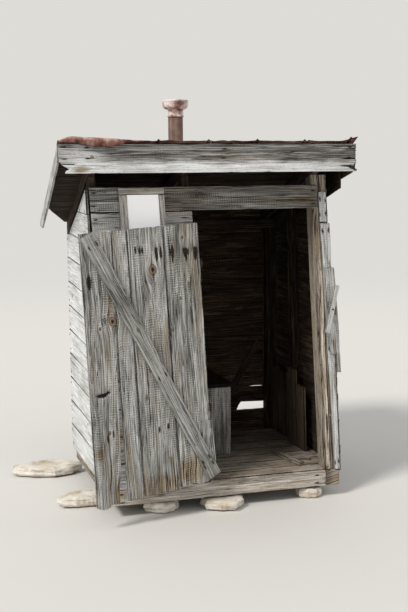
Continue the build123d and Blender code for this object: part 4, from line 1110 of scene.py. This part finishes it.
def studioFloor():
    # a flat disc just under the stones; its share of the backdrop's colour is a smooth step of the
    # distance, for the rays that show it. What it gives the eye is a pale floor without a horizon.
    turn = np.linspace(0, 2 * np.pi, 96, endpoint=False)
    points = np.stack([np.cos(turn), np.sin(turn), 0 * turn], -1) * studio["floorReach"]
    points = points + [0, 0, studio["floorLevel"]]
    mesh = bpy.data.meshes.new("studioFloor")
    mesh.from_pydata(points.tolist(), [], [list(range(len(points)))])
    material = bpy.data.materials.new("paleFloor")
    node = emptyTree(material)
    near = node("BsdfPrincipled", {"Base Color": linear(studio["floorColour"]), "Roughness": 0.9,
                                   "Specular IOR Level": 0.1})
    far = node("Emission", {"Color": linear(studio["backColour"])})
    distance = node("VectorMath", {0: node("TexCoord", out="Object")}, out="Value",
                    operation="LENGTH")
    fade = node("MapRange", {0: distance, 1: studio["fadeFrom"], 2: studio["fadeTo"]},
                interpolation_type="SMOOTHSTEP")
    fade = node("Math", {0: fade, 1: seenRays(node)}, **times)
    node("OutputMaterial", {"Surface": node("MixShader", {0: fade, 1: near, 2: far})})
    mesh.materials.append(material)
    addObject("studioFloor", mesh)


def studioLight():
    # an even white sky, shown in the backdrop's colour, and one soft sun from high on the left
    world = bpy.data.worlds.new("studioSky")
    bpy.context.scene.world = world
    node = emptyTree(world)
    light = node("Background", {"Color": linear("#ffffff"), "Strength": studio["worldStrength"]})
    shown = node("Background", {"Color": linear(studio["backColour"]), "Strength": 1.0})
    node("OutputWorld", {"Surface": node("MixShader", {0: seenRays(node), 1: light, 2: shown})})
    lamp = bpy.data.lights.new("softSun", "SUN")
    lamp.energy = studio["sunStrength"]
    lamp.angle = math.radians(studio["sunSoftness"])
    lamp.color = linear(studio["sunColour"])[:3]
    aim = Vector(studio["sunFrom"]).to_track_quat("Z", "Y")
    addObject("softSun", lamp).rotation_euler = aim.to_euler()


view = dict(              # fitted to the photograph, whose frame is 408 x 612
    place=(-1.3402, -6.2764, 1.9371),                    # from the walls' left front corner
    yaw=17.17, pitch=-7.28, roll=-0.46,                  # degrees; yaw turns to the right
    focalPixels=1074.83, framePixels=612, sensorMm=36.0, farthest=200.0,
)


def placeCamera():
    # it lies level at first: its own roll, then the pitch over the horizon, the yaw, and the place;
    # lens = focal length / frame height x sensor height
    lens = bpy.data.cameras.new("photoView")
    lens.sensor_fit = "VERTICAL"
    lens.sensor_height = view["sensorMm"]
    lens.lens = view["focalPixels"] / view["framePixels"] * view["sensorMm"]
    lens.clip_end = view["farthest"]
    camera = addObject("photoView", lens)
    camera.matrix_world = Matrix.Translation(corner + view["place"])
    for degrees, axis in ((-view["yaw"], "Z"), (90 + view["pitch"], "X"), (view["roll"], "Z")):
        camera.matrix_world @= Matrix.Rotation(math.radians(degrees), 4, axis)
    bpy.context.scene.camera = camera


studioFloor()
studioLight()
placeCamera()
bpy.context.scene.view_settings.view_transform = "Standard"
print("floor, light and camera placed")
